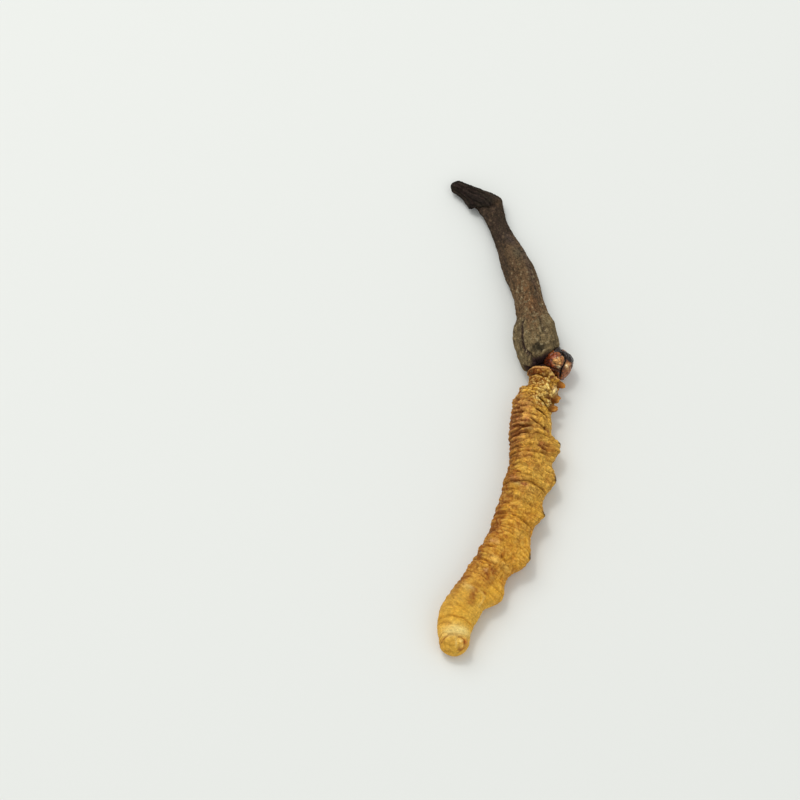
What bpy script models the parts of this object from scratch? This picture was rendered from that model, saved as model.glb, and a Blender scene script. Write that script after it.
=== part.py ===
"""A dried cordyceps: a moth's larva, its head capsule and the fungus's stroma grown out of it.

It lies on its flank on the surface z = 0, with +Y from the tail to the stroma's tip, +X towards
the belly and its legs, and +Z up. Each long piece is a loft: unlike sections along a smooth curve.
"""

import bpy
import numpy as np

MM = 0.001

# Angles go round a section: 0 is the belly side (+X), 90 degrees is up, 180 is the back.
# Every station along a piece is (x, y, height of the centreline, half-width), in mm.
LARVA_STATIONS = (
    (-7.25, -34.3, 1.3, 1.70),
    (-7.1, -32.7, 1.5, 1.92),
    (-7.0, -30.7, 1.7, 2.17),
    (-6.5, -29.0, 1.9, 2.25),
    (-5.3, -26.9, 2.0, 2.25),
    (-3.4, -24.2, 2.0, 2.30),
    (-1.6, -21.5, 2.2, 2.45),
    (-0.1, -18.6, 2.4, 2.60),
    (0.9, -15.1, 2.4, 2.50),
    (1.9, -12.4, 2.3, 2.50),
    (2.7, -9.4, 2.4, 2.65),
    (3.0, -6.8, 2.4, 2.65),
    (3.0, -3.7, 2.4, 2.70),
    (3.1, -1.5, 2.3, 2.60),
    (3.65, 0.4, 2.3, 2.52),
    (4.80, 2.1, 2.4, 2.00),
    (5.15, 3.6, 2.4, 1.92),
    (5.1, 4.7, 2.3, 1.92),
    (4.85, 5.8, 2.3, 1.85),
)
STROMA_STATIONS = (
    (4.6, 5.7, 2.4, 2.55),
    (4.4, 7.7, 2.4, 2.85),
    (4.1, 9.8, 2.4, 2.95),
    (4.0, 11.5, 2.3, 2.80),
    (3.80, 12.8, 2.2, 2.20),
    (3.50, 14.2, 2.1, 2.00),
    (2.85, 17.3, 2.0, 2.00),
    (1.9, 20.5, 1.9, 2.08),
    (1.25, 22.4, 1.8, 1.82),
    (0.65, 24.0, 1.6, 1.52),
    (-0.1, 25.7, 1.4, 1.33),
    (-0.7, 27.2, 1.3, 1.33),
    (-1.1, 28.5, 1.3, 1.45),
    (-1.5, 29.7, 1.3, 1.62),
    (-2.0, 30.6, 1.3, 1.66),
    (-2.9, 31.4, 1.2, 1.50),
    (-3.9, 32.0, 1.1, 1.36),
    (-4.9, 32.7, 1.0, 1.14),
    (-5.9, 33.4, 0.9, 0.92),
    (-6.9, 34.0, 0.8, 0.64),
)
LARVA_FLATNESS = 0.94  # height of a section over its width
STROMA_FLATNESS = 0.82

# Creases round the larva: (distance from the tail, how far it leans forward on the belly side,
# depth, half-width along the body), in mm. The deep ones part the segments.
CREASES = (
    (2.1, 0.2, 0.12, 0.30),
    (4.3, 0.0, 0.26, 0.30),
    (7.5, 0.4, 0.22, 0.35),
    (8.9, 0.5, 0.14, 0.30),
    (12.5, 0.9, 0.12, 0.30),
    (13.7, 1.1, 0.30, 0.35),
    (15.5, 1.1, 0.14, 0.35),
    (18.3, 0.1, 0.16, 0.35),
    (19.6, -0.2, 0.36, 0.35),
    (22.0, 0.6, 0.12, 0.35),
    (23.8, 0.4, 0.16, 0.30),
    (24.7, 0.1, 0.36, 0.35),
    (28.7, 0.2, 0.32, 0.35),
    (30.0, 0.0, 0.12, 0.30),
    (31.8, 0.0, 0.36, 0.35),
    (32.9, 0.0, 0.26, 0.35),
    (35.1, 0.0, 0.22, 0.35),
    (36.8, 0.8, 0.20, 0.35),
    (39.3, 0.8, 0.30, 0.35),
    (40.5, 0.0, 0.30, 0.30),
)
# Pairs of lumps: (distance from the tail, angle of each from the belly's midline, height,
# half-length along the body, half-width round it).
PROLEGS = (
    (30.3, 21.0, 1.25, 1.35, 0.85),
    (26.4, 21.0, 1.20, 1.40, 0.75),
    (21.7, 21.0, 1.30, 1.40, 0.75),
    (15.9, 21.0, 1.35, 1.60, 0.80),
    (10.2, 18.0, 1.00, 1.80, 1.00),
)
THORACIC_LEGS = (
    (40.2, 21.0, 1.10, 0.60, 0.55),
    (38.7, 21.0, 1.05, 0.60, 0.55),
    (36.9, 21.0, 0.95, 0.65, 0.55),
)
ANAL_PROLEGS = ((1.3, 60.0, 0.40, 0.70, 0.65),)
BELLY_TURN = -12.0  # degrees: the belly faces a little down, on to the lower row of legs

LARVA_RINGS = 118
LARVA_SIDES = 28
STROMA_RINGS = 56
STROMA_SIDES = 18
TAIL_ROUNDING = 1.6
NECK_ROUNDING = 0.7
BASE_ROUNDING = 1.0
TIP_ROUNDING = 1.0
END_EASE = 3.0  # how much closer the rings stand at the rounded ends
BASE_LEAN = 0.70  # the stroma's base reaches further down the neck on the back's side
BASE_LEAN_REACH = 3.5
FOLD_COUNT = 5  # longitudinal folds of the stroma
FOLD_DEPTH = 0.10
FOLD_TWIST = 0.10  # radians of turn for each mm along it
# Single lumps of the stroma: (distance, angle, height, half-length, half-width).
BASE_LOBE = (2.8, 62.0, 0.30, 1.2, 1.2)
ELBOW_CORNER = (25.5, 0.0, 0.30, 0.6, 1.0)
ELBOW_SHOULDER = (27.6, 180.0, 0.30, 0.6, 1.0)

HEAD_CENTRE = (6.95, 6.1, 2.35)
HEAD_RADII = (2.05, 2.05, 1.90)
HEAD_TURN = (0.20, 0.25, -0.30)  # the line between its halves runs up and slightly back
HEAD_SEGMENTS = 24
HEAD_RINGS = 16
HEAD_LOBE = 0.10  # share by which each half of the head bulges past the ellipsoid
HEAD_SUTURE = 0.16  # share by which the line between the halves is sunk
HEAD_SUTURE_WIDTH = 0.20
HEAD_SUTURE_PLACE = 0.20  # share of the radius, towards the belly side
GAP = 0.25  # between neighbouring pieces


def along(stations, count, start_rounding, end_rounding):
    """Smooth curve through the stations: distances, centres, half-widths and sideways directions.

    Between two stations each value is the cubic with the stations' own slopes. Steps shorten
    towards both ends, as an even step less its sine does, so that the rounded ends stay round.
    """
    rows = np.array(stations)
    spans = np.linalg.norm(np.diff(rows[:, :2], axis=0), axis=1)
    marks = np.concatenate(([0.0], np.cumsum(spans)))
    slopes = np.gradient(rows, marks, axis=0)
    even = np.linspace(0.0, 1.0, count)
    eased = even - np.sin(2.0 * np.pi * even) / (2.0 * np.pi)
    ease = min(1.0, END_EASE * (start_rounding + end_rounding) / marks[-1])
    places = marks[-1] * ((1.0 - ease) * even + ease * eased)
    left = np.clip(np.searchsorted(marks, places, side="right") - 1, 0, len(marks) - 2)
    span = (marks[left + 1] - marks[left])[:, None]
    t = ((places - marks[left]) / span[:, 0])[:, None]
    values = (
        (2 * t**3 - 3 * t**2 + 1) * rows[left]
        + (t**3 - 2 * t**2 + t) * span * slopes[left]
        + (3 * t**2 - 2 * t**3) * rows[left + 1]
        + (t**3 - t**2) * span * slopes[left + 1]
    )
    heading = np.gradient(values[:, :2], places, axis=0)
    heading /= np.linalg.norm(heading, axis=1)[:, None]
    sideways = np.column_stack((heading[:, 1], -heading[:, 0], np.zeros(count)))
    return places, values[:, :3], values[:, 3], sideways


def rounding(places, start, end):
    """Quarter circles at both ends: 0 at the end points, 1 past the rounding."""
    length = places[-1]
    first = np.clip(1.0 - places / start, 0.0, 1.0)
    last = np.clip(1.0 - (length - places) / end, 0.0, 1.0)
    return np.sqrt(np.clip(1.0 - first**2, 0.0, 1.0)) * np.sqrt(np.clip(1.0 - last**2, 0.0, 1.0))


def turn_between(angles, centre):
    """Angle from centre to each angle, from -pi to pi."""
    return (angles - centre + np.pi) % (2.0 * np.pi) - np.pi


def lump(places, angles, radius, row):
    """A dome that falls from its height to nothing as a bell does, along and round the body."""
    place, angle, height, half_length, half_width = row
    across = turn_between(angles, np.radians(angle)) * radius
    distance = ((places - place) / half_length) ** 2 + (across / half_width) ** 2
    return height * np.exp(-distance)


def leg_pairs(places, angles, radius, rows):
    """Each row's lump and its twin, one on each side of the belly's midline."""
    total = np.zeros(np.broadcast(places, angles).shape)
    for place, angle, *size in rows:
        for side in (angle, -angle):
            total += lump(places, angles, radius, (place, BELLY_TURN + side, *size))
    return total


def crease_depth(places, angles):
    """Grooves round the body, each a bell in the distance from its own, slightly leaning, ring."""
    total = np.zeros(np.broadcast(places, angles).shape)
    for place, lean, depth, half_width in CREASES:
        ring = place + lean * np.cos(angles)
        total += depth * np.exp(-(((places - ring) / half_width) ** 2))
    return total


def larva_relief(places, angles, radius):
    legs = leg_pairs(places, angles, radius, PROLEGS + THORACIC_LEGS + ANAL_PROLEGS)
    return legs - crease_depth(places, angles)


def stroma_relief(places, angles, radius):
    """Shallow folds that run along the stroma and turn slowly round it, with its own lumps."""
    folds = FOLD_DEPTH * np.cos(FOLD_COUNT * angles + FOLD_TWIST * FOLD_COUNT * places)
    lumps = sum(lump(places, angles, radius, row) for row in (BASE_LOBE, ELBOW_CORNER, ELBOW_SHOULDER))
    return folds + lumps


def loft_points(stations, counts, roundings, flatness, relief, lean=0.0, grow=0.0):
    """Rings of points: centre + (half-width + relief) round the section, never below the floor.

    The lean pushes a ring's points along the piece by a share of their sideways offset. A grown
    copy stands out by the same amount all round and past both ends, and may pass the floor.
    """
    rings, sides = counts
    places, centres, widths, sideways = along(stations, rings, *roundings)
    closing = rounding(places, *roundings)[:, None]
    angles = np.linspace(0.0, 2.0 * np.pi, sides, endpoint=False)[None, :]
    radius = widths[:, None]
    raised = relief(places[:, None], angles, radius) + grow
    out = (radius + raised) * closing * np.cos(angles)
    up = (flatness * radius + raised) * closing * np.sin(angles)
    heading = np.column_stack((-sideways[:, 1], sideways[:, 0], np.zeros(rings)))
    shift = lean * np.clip(1.0 - places / BASE_LEAN_REACH, 0.0, 1.0)[:, None] * out
    shift += grow * (1.0 - closing) * np.sign(places[:, None] - places[-1] / 2.0)
    points = centres[:, None, :] + out[..., None] * sideways[:, None, :]
    points = points + shift[..., None] * heading[:, None, :]
    points[..., 2] += up
    if grow == 0.0:
        points[..., 2] = np.maximum(points[..., 2], 0.0)
    return points


def loft_object(name, collection, points):
    """Closed mesh of the rings, with the first and the last one drawn to a point."""
    rings, sides, _ = points.shape
    inner = points[1:-1].reshape(-1, 3)
    ends = np.array((points[0].mean(axis=0), points[-1].mean(axis=0)))
    vertices = np.concatenate((inner, ends)) * MM
    first, last = len(inner), len(inner) + 1
    faces = []
    for side in range(sides):
        after = (side + 1) % sides
        faces.append((first, side, after))
        for ring in range(rings - 3):
            low, high = ring * sides, (ring + 1) * sides
            faces.append((low + side, high + side, high + after, low + after))
        top = (rings - 3) * sides
        faces.append((top + side, last, top + after))
    mesh = bpy.data.meshes.new(name)
    mesh.from_pydata(vertices.tolist(), [], faces)
    mesh.validate()
    mesh.shade_smooth()
    made = bpy.data.objects.new(name, mesh)
    collection.objects.link(made)
    return made


def head_object(name, collection, grow=0.0):
    """An ellipsoid parted by a sunken line into two bulging halves, turned to face the belly."""
    bpy.ops.mesh.primitive_uv_sphere_add(segments=HEAD_SEGMENTS, ring_count=HEAD_RINGS, radius=1.0)
    made = bpy.context.object
    made.name = name
    for held_by in list(made.users_collection):
        held_by.objects.unlink(made)
    collection.objects.link(made)
    for vertex in made.data.vertices:
        x, y, z = vertex.co
        aside = x - HEAD_SUTURE_PLACE
        suture = HEAD_SUTURE * np.exp(-((aside / HEAD_SUTURE_WIDTH) ** 2)) * max(0.0, 0.4 + 0.6 * z)
        scale = 1.0 + HEAD_LOBE * abs(aside) * max(0.0, z) - suture
        vertex.co = [(radius * scale + grow) * part * MM for radius, part in zip(HEAD_RADII, (x, y, z))]
    made.data.shade_smooth()
    made.location = [value * MM for value in HEAD_CENTRE]
    made.rotation_euler = HEAD_TURN
    return made


def material(name, colour, roughness):
    made = bpy.data.materials.new(name)
    made.use_nodes = True
    shader = made.node_tree.nodes["Principled BSDF"]
    shader.inputs["Base Color"].default_value = (*colour, 1.0)
    shader.inputs["Roughness"].default_value = roughness
    shader.inputs["Metallic"].default_value = 0.0
    return made


def cut_away(piece, cutter):
    """Keep the piece clear of its neighbour's grown copy."""
    cutter.hide_render = True
    cutter.display_type = "WIRE"
    cut = piece.modifiers.new("room_for_" + cutter.name, "BOOLEAN")
    cut.operation = "DIFFERENCE"
    cut.object = cutter


def new_collection(name):
    made = bpy.data.collections.new(name)
    bpy.context.scene.collection.children.link(made)
    return made


def clear_scene():
    for leftover in list(bpy.data.objects):
        bpy.data.objects.remove(leftover, do_unlink=True)


def main():
    clear_scene()
    parts = new_collection("dried_cordyceps")
    cutters = new_collection("cutters")

    larva_counts = (LARVA_RINGS, LARVA_SIDES)
    larva_ends = (TAIL_ROUNDING, NECK_ROUNDING)
    larva_shape = (LARVA_STATIONS, larva_counts, larva_ends, LARVA_FLATNESS, larva_relief)
    larva = loft_object("larva", parts, loft_points(*larva_shape))
    larva.data.materials.append(material("larva_cuticle", (0.48, 0.26, 0.06), 0.6))

    stroma_counts = (STROMA_RINGS, STROMA_SIDES)
    stroma_ends = (BASE_ROUNDING, TIP_ROUNDING)
    stroma_shape = (STROMA_STATIONS, stroma_counts, stroma_ends, STROMA_FLATNESS, stroma_relief)
    stroma = loft_object("stroma", parts, loft_points(*stroma_shape, lean=BASE_LEAN))
    stroma.data.materials.append(material("stroma_tissue", (0.09, 0.055, 0.03), 0.85))

    head = head_object("head_capsule", parts)
    head.data.materials.append(material("head_shell", (0.25, 0.06, 0.015), 0.3))

    grown_larva = loft_object("grown_larva", cutters, loft_points(*larva_shape, grow=GAP))
    grown_head = head_object("grown_head", cutters, grow=GAP)
    cut_away(larva, grown_head)
    cut_away(stroma, grown_head)
    cut_away(stroma, grown_larva)


main()
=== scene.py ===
# %% [markdown]
# # A dried cordyceps
# A moth's larva was filled by a fungus underground, and the fungus then sent up one dark stalk,
# the stroma, from behind the larva's head. Dried, the whole thing is no longer than a finger:
# a ringed golden body with stubby legs, a glossy horn-brown head, and a matte, folded stalk.
# The three pieces are three surfaces. Each is worked out with numpy as one grid of points, because
# everything that gives the thing its look (rings, legs, wrinkles, pebbled skin) is relief on a tube
# or on a ball, and relief is easy to add up as whole arrays.

import bpy
import numpy as np
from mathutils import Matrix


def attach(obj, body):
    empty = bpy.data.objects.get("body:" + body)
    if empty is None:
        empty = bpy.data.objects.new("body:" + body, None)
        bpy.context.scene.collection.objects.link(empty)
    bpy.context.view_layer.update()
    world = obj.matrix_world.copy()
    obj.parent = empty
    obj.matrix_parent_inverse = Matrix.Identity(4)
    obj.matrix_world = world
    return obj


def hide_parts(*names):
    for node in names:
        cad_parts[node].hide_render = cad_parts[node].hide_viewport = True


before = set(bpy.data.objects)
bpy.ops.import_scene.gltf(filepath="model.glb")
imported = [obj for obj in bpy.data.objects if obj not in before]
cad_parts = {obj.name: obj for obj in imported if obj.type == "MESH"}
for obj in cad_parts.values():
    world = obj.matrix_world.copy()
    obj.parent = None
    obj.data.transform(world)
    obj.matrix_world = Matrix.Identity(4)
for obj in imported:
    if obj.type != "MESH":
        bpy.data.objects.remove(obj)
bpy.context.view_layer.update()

MM = 0.001
print("pieces to dress:", sorted(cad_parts))

# %% [markdown]
# ## The two long pieces follow the same stations as the solids
# The larva and the stalk are bent rods that swell and narrow. A Blender curve with a bevel would
# bend too, but its width is hard to steer, so each rod is a row of stations. A station is a
# cross-section that was measured: x, y, height of the centreline and half-width, in millimetres.

# %% Stations of the larva, from tail to collar
LARVA_STATIONS = (
    (-7.25, -34.3, 1.3, 1.70),
    (-7.1, -32.7, 1.5, 1.92),
    (-7.0, -30.7, 1.7, 2.17),
    (-6.5, -29.0, 1.9, 2.25),
    (-5.3, -26.9, 2.0, 2.25),
    (-3.4, -24.2, 2.0, 2.30),
    (-1.6, -21.5, 2.2, 2.45),
    (-0.1, -18.6, 2.4, 2.60),
    (0.9, -15.1, 2.4, 2.50),
    (1.9, -12.4, 2.3, 2.50),
    (2.7, -9.4, 2.4, 2.65),
    (3.0, -6.8, 2.4, 2.65),
    (3.0, -3.7, 2.4, 2.70),
    (3.1, -1.5, 2.3, 2.60),
    (3.65, 0.4, 2.3, 2.52),
    (4.80, 2.1, 2.4, 2.00),
    (5.15, 3.6, 2.4, 1.92),
    (5.1, 4.7, 2.3, 1.92),
    (4.85, 5.8, 2.3, 1.85),
)
print(f"the larva has {len(LARVA_STATIONS)} stations")

# %% Stations of the stroma, from foot to tip
STROMA_STATIONS = (
    (4.6, 5.7, 2.4, 2.55),
    (4.4, 7.7, 2.4, 2.85),
    (4.1, 9.8, 2.4, 2.95),
    (4.0, 11.5, 2.3, 2.80),
    (3.80, 12.8, 2.2, 2.20),
    (3.50, 14.2, 2.1, 2.00),
    (2.85, 17.3, 2.0, 2.00),
    (1.9, 20.5, 1.9, 2.08),
    (1.25, 22.4, 1.8, 1.82),
    (0.65, 24.0, 1.6, 1.52),
    (-0.1, 25.7, 1.4, 1.33),
    (-0.7, 27.2, 1.3, 1.33),
    (-1.1, 28.5, 1.3, 1.45),
    (-1.5, 29.7, 1.3, 1.62),
    (-2.0, 30.6, 1.3, 1.66),
    (-2.9, 31.4, 1.2, 1.50),
    (-3.9, 32.0, 1.1, 1.36),
    (-4.9, 32.7, 1.0, 1.14),
    (-5.9, 33.4, 0.9, 0.92),
    (-6.9, 34.0, 0.8, 0.64),
)
print(f"the stroma has {len(STROMA_STATIONS)} stations")

# %% [markdown]
# ## A smooth curve through the stations
# Between stations everything is a smooth cubic, so twenty rows give the whole bend. All rings are
# worked out at once as arrays, because the relief is added to them ring by ring. The rings crowd
# towards both ends, where the rod is rounded like a ball and even steps would leave corners.

# %% Places, centres, widths and headings
END_EASE = 3.0  # how far the crowding reaches, in lengths of the rounded ends


def along(stations, count, start_rounding, end_rounding):
    """Smooth curve through the stations: each value is the cubic with the stations' own slopes.

    The steps along it shorten towards both ends: an even step less a share of its sine.
    """
    rows = np.array(stations)
    spans = np.linalg.norm(np.diff(rows[:, :2], axis=0), axis=1)
    marks = np.concatenate(([0.0], np.cumsum(spans)))
    slopes = np.gradient(rows, marks, axis=0)
    even = np.linspace(0.0, 1.0, count)
    eased = even - np.sin(2.0 * np.pi * even) / (2.0 * np.pi)
    ease = min(1.0, END_EASE * (start_rounding + end_rounding) / marks[-1])
    places = marks[-1] * ((1.0 - ease) * even + ease * eased)
    left = np.clip(np.searchsorted(marks, places, side="right") - 1, 0, len(marks) - 2)
    span = (marks[left + 1] - marks[left])[:, None]
    t = ((places - marks[left]) / span[:, 0])[:, None]
    values = (
        (2 * t**3 - 3 * t**2 + 1) * rows[left]
        + (t**3 - 2 * t**2 + t) * span * slopes[left]
        + (3 * t**2 - 2 * t**3) * rows[left + 1]
        + (t**3 - t**2) * span * slopes[left + 1]
    )
    heading = np.gradient(values[:, :2], places, axis=0)
    heading /= np.linalg.norm(heading, axis=1)[:, None]
    return places, values[:, :3], values[:, 3], heading


print("five places along the larva:", along(LARVA_STATIONS, 5, 1.6, 0.45)[0].round(1))


# %% Rounded ends
def rounding(places, start, end):
    """Quarter circles at both ends: 0 at the end points, 1 past the rounding."""
    first = np.clip(1.0 - places / start, 0.0, 1.0)
    last = np.clip(1.0 - (places[-1] - places) / end, 0.0, 1.0)
    return np.sqrt(np.clip(1.0 - first**2, 0.0, 1.0)) * np.sqrt(np.clip(1.0 - last**2, 0.0, 1.0))


print("a rod of 4 mm with round ends:", rounding(np.linspace(0.0, 4.0, 5), 1.5, 1.5).round(2))

# %% [markdown]
# ## Irregularity: noise and cells
# Skin that dried slowly is irregular at every size. A noise texture could displace the mesh, but
# its values can't be read back to mix the paint. So two fields are worked out here: a smooth noise,
# and cells, which are large inside a pebble and zero on the crack between two. Both take points in
# space, so they run round a tube without a seam, and their random numbers are seeded.

# %% Smooth noise
LATTICE = 48  # the random values repeat after this many steps


def smooth_noise(points, seed):
    """Noise from -1 to 1: a random value on every whole-number corner of space, blended between
    the eight corners round a point with the curve 3t^2 - 2t^3 along each axis."""
    values = np.random.default_rng(seed).uniform(-1.0, 1.0, (LATTICE, LATTICE, LATTICE))
    cell = np.floor(points).astype(int)
    t = points - cell
    t = t * t * (3.0 - 2.0 * t)
    total = np.zeros(points.shape[:-1])
    for corner in np.ndindex(2, 2, 2):
        weight = np.prod(np.where(corner, t, 1.0 - t), axis=-1)
        at = (cell + corner) % LATTICE
        total += weight * values[at[..., 0], at[..., 1], at[..., 2]]
    return total


def layered_noise(points, seed, layers=3):
    """Sum of noises, each twice as fine and half as strong as the one before."""
    total = np.zeros(points.shape[:-1])
    for layer in range(layers):
        total += smooth_noise(points * 2.0**layer + 7.3 * layer, seed + layer) / 2.0**layer
    return total


print(f"the noise repeats after {LATTICE} steps")

# %% Cells
FAR = 9.0  # farther than anything that is looked for


def cells(points, seed):
    """Distances to the nearest and second nearest of a set of spots, one spot in each unit cube."""
    offsets = np.random.default_rng(seed).uniform(0.0, 1.0, (LATTICE, LATTICE, LATTICE, 3))
    cell = np.floor(points).astype(int)
    nearest = np.full(points.shape[:-1], FAR)
    second = nearest.copy()
    for step in np.ndindex(3, 3, 3):
        cube = cell + np.array(step) - 1
        at = cube % LATTICE
        spot = cube + offsets[at[..., 0], at[..., 1], at[..., 2]]
        gap = np.linalg.norm(points - spot, axis=-1)
        second = np.minimum(second, np.maximum(nearest, gap))
        nearest = np.minimum(nearest, gap)
    return nearest, second


two_gaps = cells(np.full((1, 3), 0.5), 65)
print("the two nearest spots are away by", [round(gap.item(), 2) for gap in two_gaps])


# %% Steps and bells
def smooth_step(value, low, high):
    """0 below low, 1 above high, and the curve 3t^2 - 2t^3 between."""
    t = np.clip((value - low) / (high - low), 0.0, 1.0)
    return t * t * (3.0 - 2.0 * t)


def bell(value, half_width):
    """1 at zero, falling to nothing on both sides as exp(-(value / half_width)^2) does."""
    return np.exp(-((value / half_width) ** 2))


print(f"half-way, a step is {smooth_step(0.5, 0.0, 1.0):.2f} and a bell {bell(0.5, 1.0):.2f}")

# %% [markdown]
# ## Relief is drawn on the unrolled skin
# Lumps, rings and single wrinkles could be sculpted by hand. Written down instead, they can be
# moved and measured. A point of the skin has a distance from the tail, s, and an angle round the
# section: 0 is the belly side (+X), 90 degrees is up, 180 is the back. The distance round the body
# is the angle times the radius, so every mark is drawn in millimetres, as on a flat sheet.

# %% Headings calmed in bends
BEND_REACH = 1.1


def calmed(heading, places):
    """Headings averaged over about a millimetre, so that sections don't cross inside a bend: each
    is the mean of its neighbours, weighted with a bell of the distance between them."""
    weights = bell(places[:, None] - places[None, :], BEND_REACH) * np.gradient(places)[None, :]
    calm = weights @ heading
    return calm / np.linalg.norm(calm, axis=1)[:, None]


quarter_turn = calmed(np.array(((1.0, 0.0), (0.0, 1.0))), np.array((0.0, BEND_REACH)))
print("two headings at a right angle, calmed:", quarter_turn.round(2).tolist())


# %% A tube: the grid and its points
TONGUE_MEAN = 0.65  # share of its length that a tongue keeps at the sides
TONGUE_LEAN = 0.35  # how much more it keeps on top, and less underneath
MIN_CLOSING = 0.3


class Tube:
    """The grid of a tube: distances along it, angles round it, radii, and the cut of its start."""

    def __init__(self, stations, rings, sides, roundings):
        """Rings along the stations, points round each ring, and the lengths of the rounded ends."""
        self.places, self.centres, widths, heading = along(stations, rings, *roundings)
        self.heading = calmed(heading, self.places)
        self.closing = rounding(self.places, *roundings)[:, None]
        self.s = self.places[:, None]
        self.angles = np.linspace(0.0, 2.0 * np.pi, sides, endpoint=False)[None, :]
        self.radius = widths[:, None]
        self.shape = (rings, sides)
        self.cut_to(((0.0, 0.0),), 1.0)

    def cut_to(self, outline, reach):
        """Cut the tube's start to an outline. Its marks say how many mm further along the start lies
        at so many mm aside; between them it is straight. What is drawn afterwards is placed on the
        cut piece."""
        self.outline, self.cut_reach = np.array(outline).T, reach
        self.placed = self.s + self.cut_shift(self.radius * np.cos(self.angles))

    def cut_shift(self, aside):
        """How far the cut moves a point along the body: the outline's value at its place aside,
        times 1 at the start and 0 where the cut's reach ends. Tongues are shorter underneath."""
        shift = np.interp(aside, *self.outline) * np.clip(1.0 - self.s / self.cut_reach, 0.0, 1.0)
        return np.maximum(shift, shift * (TONGUE_MEAN + TONGUE_LEAN * np.sin(self.angles)))

    def points(self, height, flatness):
        """Centre + (half-width + height) round the section, and never below the floor."""
        out = (self.radius + height) * self.closing * np.cos(self.angles)
        up = (flatness * self.radius + height) * self.closing * np.sin(self.angles)
        shift = self.closing * self.cut_shift(out / np.maximum(self.closing, MIN_CLOSING))
        sideways = np.column_stack((self.heading[:, 1], -self.heading[:, 0]))
        made = np.repeat(self.centres[:, None, :], self.shape[1], axis=1)
        made[..., :2] += out[..., None] * sideways[:, None, :]
        made[..., :2] += shift[..., None] * self.heading[:, None, :]
        made[..., 2] = np.maximum(made[..., 2] + up, 0.0)
        return made


print("a tube knows:", [name for name in vars(Tube) if not name.startswith("_")])

# %% Its skin: a sheet to draw on
STROKE_FADE = 0.35  # mm
STROKE_LOSS = 0.6  # share of a stroke's strength that its end points lose


class Skin(Tube):
    """The tube's surface, unrolled. Each mark is a value for every point of the grid."""

    def turn_from(self, degrees):
        """Angle from a direction to each point, from -pi to pi."""
        return (self.angles - np.radians(degrees) + np.pi) % (2.0 * np.pi) - np.pi

    def distance(self, place, degrees, half_length, half_width):
        """Distance from a spot, as a share of a patch's half-length and half-width."""
        across = self.turn_from(degrees) * self.radius / half_width
        return np.sqrt(((self.placed - place) / half_length) ** 2 + across**2)

    def patch(self, place, degrees, half_length, half_width, power=2.0):
        """1 in the middle and 0 outside: exp(-distance^power). Power 1.3 is a cone, 4 a block."""
        return np.exp(-self.distance(place, degrees, half_length, half_width) ** power)

    def stroke(self, marks, half_width):
        """A line through (distance, degrees) marks: a bell in the distance to the nearest piece,
        which loses a share of its strength towards both end points."""
        nearest = np.full(self.shape, FAR)
        for (s0, a0), (s1, a1) in zip(marks[:-1], marks[1:]):
            along_it, round_it = s1 - s0, np.radians(a1 - a0) * self.radius
            ds, dw = self.placed - s0, self.turn_from(a0) * self.radius
            share = (ds * along_it + dw * round_it) / (along_it**2 + round_it**2)
            share = np.clip(share, 0.0, 1.0)
            nearest = np.minimum(nearest, np.hypot(ds - share * along_it, dw - share * round_it))
        ends = [self.distance(*mark, STROKE_FADE, STROKE_FADE) for mark in (marks[0], marks[-1])]
        return bell(nearest, half_width) * (1.0 - STROKE_LOSS * bell(np.minimum(*ends), 1.0))

    def ring(self, back, top, belly):
        """Distance of each point from a ring that passes three given places: on the back, on top
        and on the belly side. The ring is their mean plus a cosine and a sine of the angle."""
        middle = (back + belly) / 2.0
        lean = (belly - back) / 2.0
        return self.s - (middle + lean * np.cos(self.angles) + (top - middle) * np.sin(self.angles))

    def scaled(self, lengthwise, across, height=0.0):
        """The straightened body measured in steps of so many mm along it and across it: distance,
        then the section's cosine and sine times the radius and any height above it."""
        reach = (self.radius + height) / across
        aside, upwards = reach * np.cos(self.angles), reach * np.sin(self.angles)
        return np.stack((self.s / lengthwise + 0.0 * self.angles, aside, upwards), axis=-1)


print("marks:", [name for name in vars(Skin) if not name.startswith("_")])

# %% The larva's grid
LARVA_FLATNESS = 0.91  # the section's height, as a share of its width
BELLY_TURN = -12.0  # degrees: the belly faces a little down
larva = Skin(LARVA_STATIONS, rings=505, sides=196, roundings=(1.6, 0.45))
print(f"the larva's midline is {larva.places[-1]:.1f} mm long")

# %% [markdown]
# ## Soft legs and swellings
# In life, four pairs of soft legs and a fifth pair at the tail grip the larva's tunnel. Dried, they
# are low domes, and so is a bulge behind the fourth pair. They could be balls joined to the body,
# but the skin runs over them unbroken, so each is a dome on the sheet. Only one leg of each pair
# is known; its twin across the belly is a guess.

# %% Soft legs
# Legs: distance from the tail, degrees from the belly's midline, height, half-length, half-width,
# power of the dome.
LEGS = (
    (30.35, 21.0, 1.28, 1.40, 0.95, 3.0),
    (26.4, 21.0, 1.30, 1.45, 0.85, 1.5),
    (21.7, 21.0, 1.45, 1.45, 0.85, 1.4),
    (15.75, 21.0, 1.42, 1.65, 0.95, 1.8),
    (10.2, 18.0, 1.00, 1.90, 1.10, 2.2),
    (1.00, 60.0, 0.40, 0.85, 0.72, 3.0),
)


def leg_relief(skin):
    """Sum of the legs' domes, each its height times a patch, and of their twins' past the belly."""
    total = np.zeros(skin.shape)
    for place, degrees, height, half_length, half_width, power in LEGS:
        for side in (degrees, -degrees):
            where = (place, BELLY_TURN + side, half_length, half_width)
            total += height * skin.patch(*where, power)
    return total


legs = leg_relief(larva)
print(f"{2 * len(LEGS)} domes, up to {legs.max():.2f} mm high")

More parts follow.
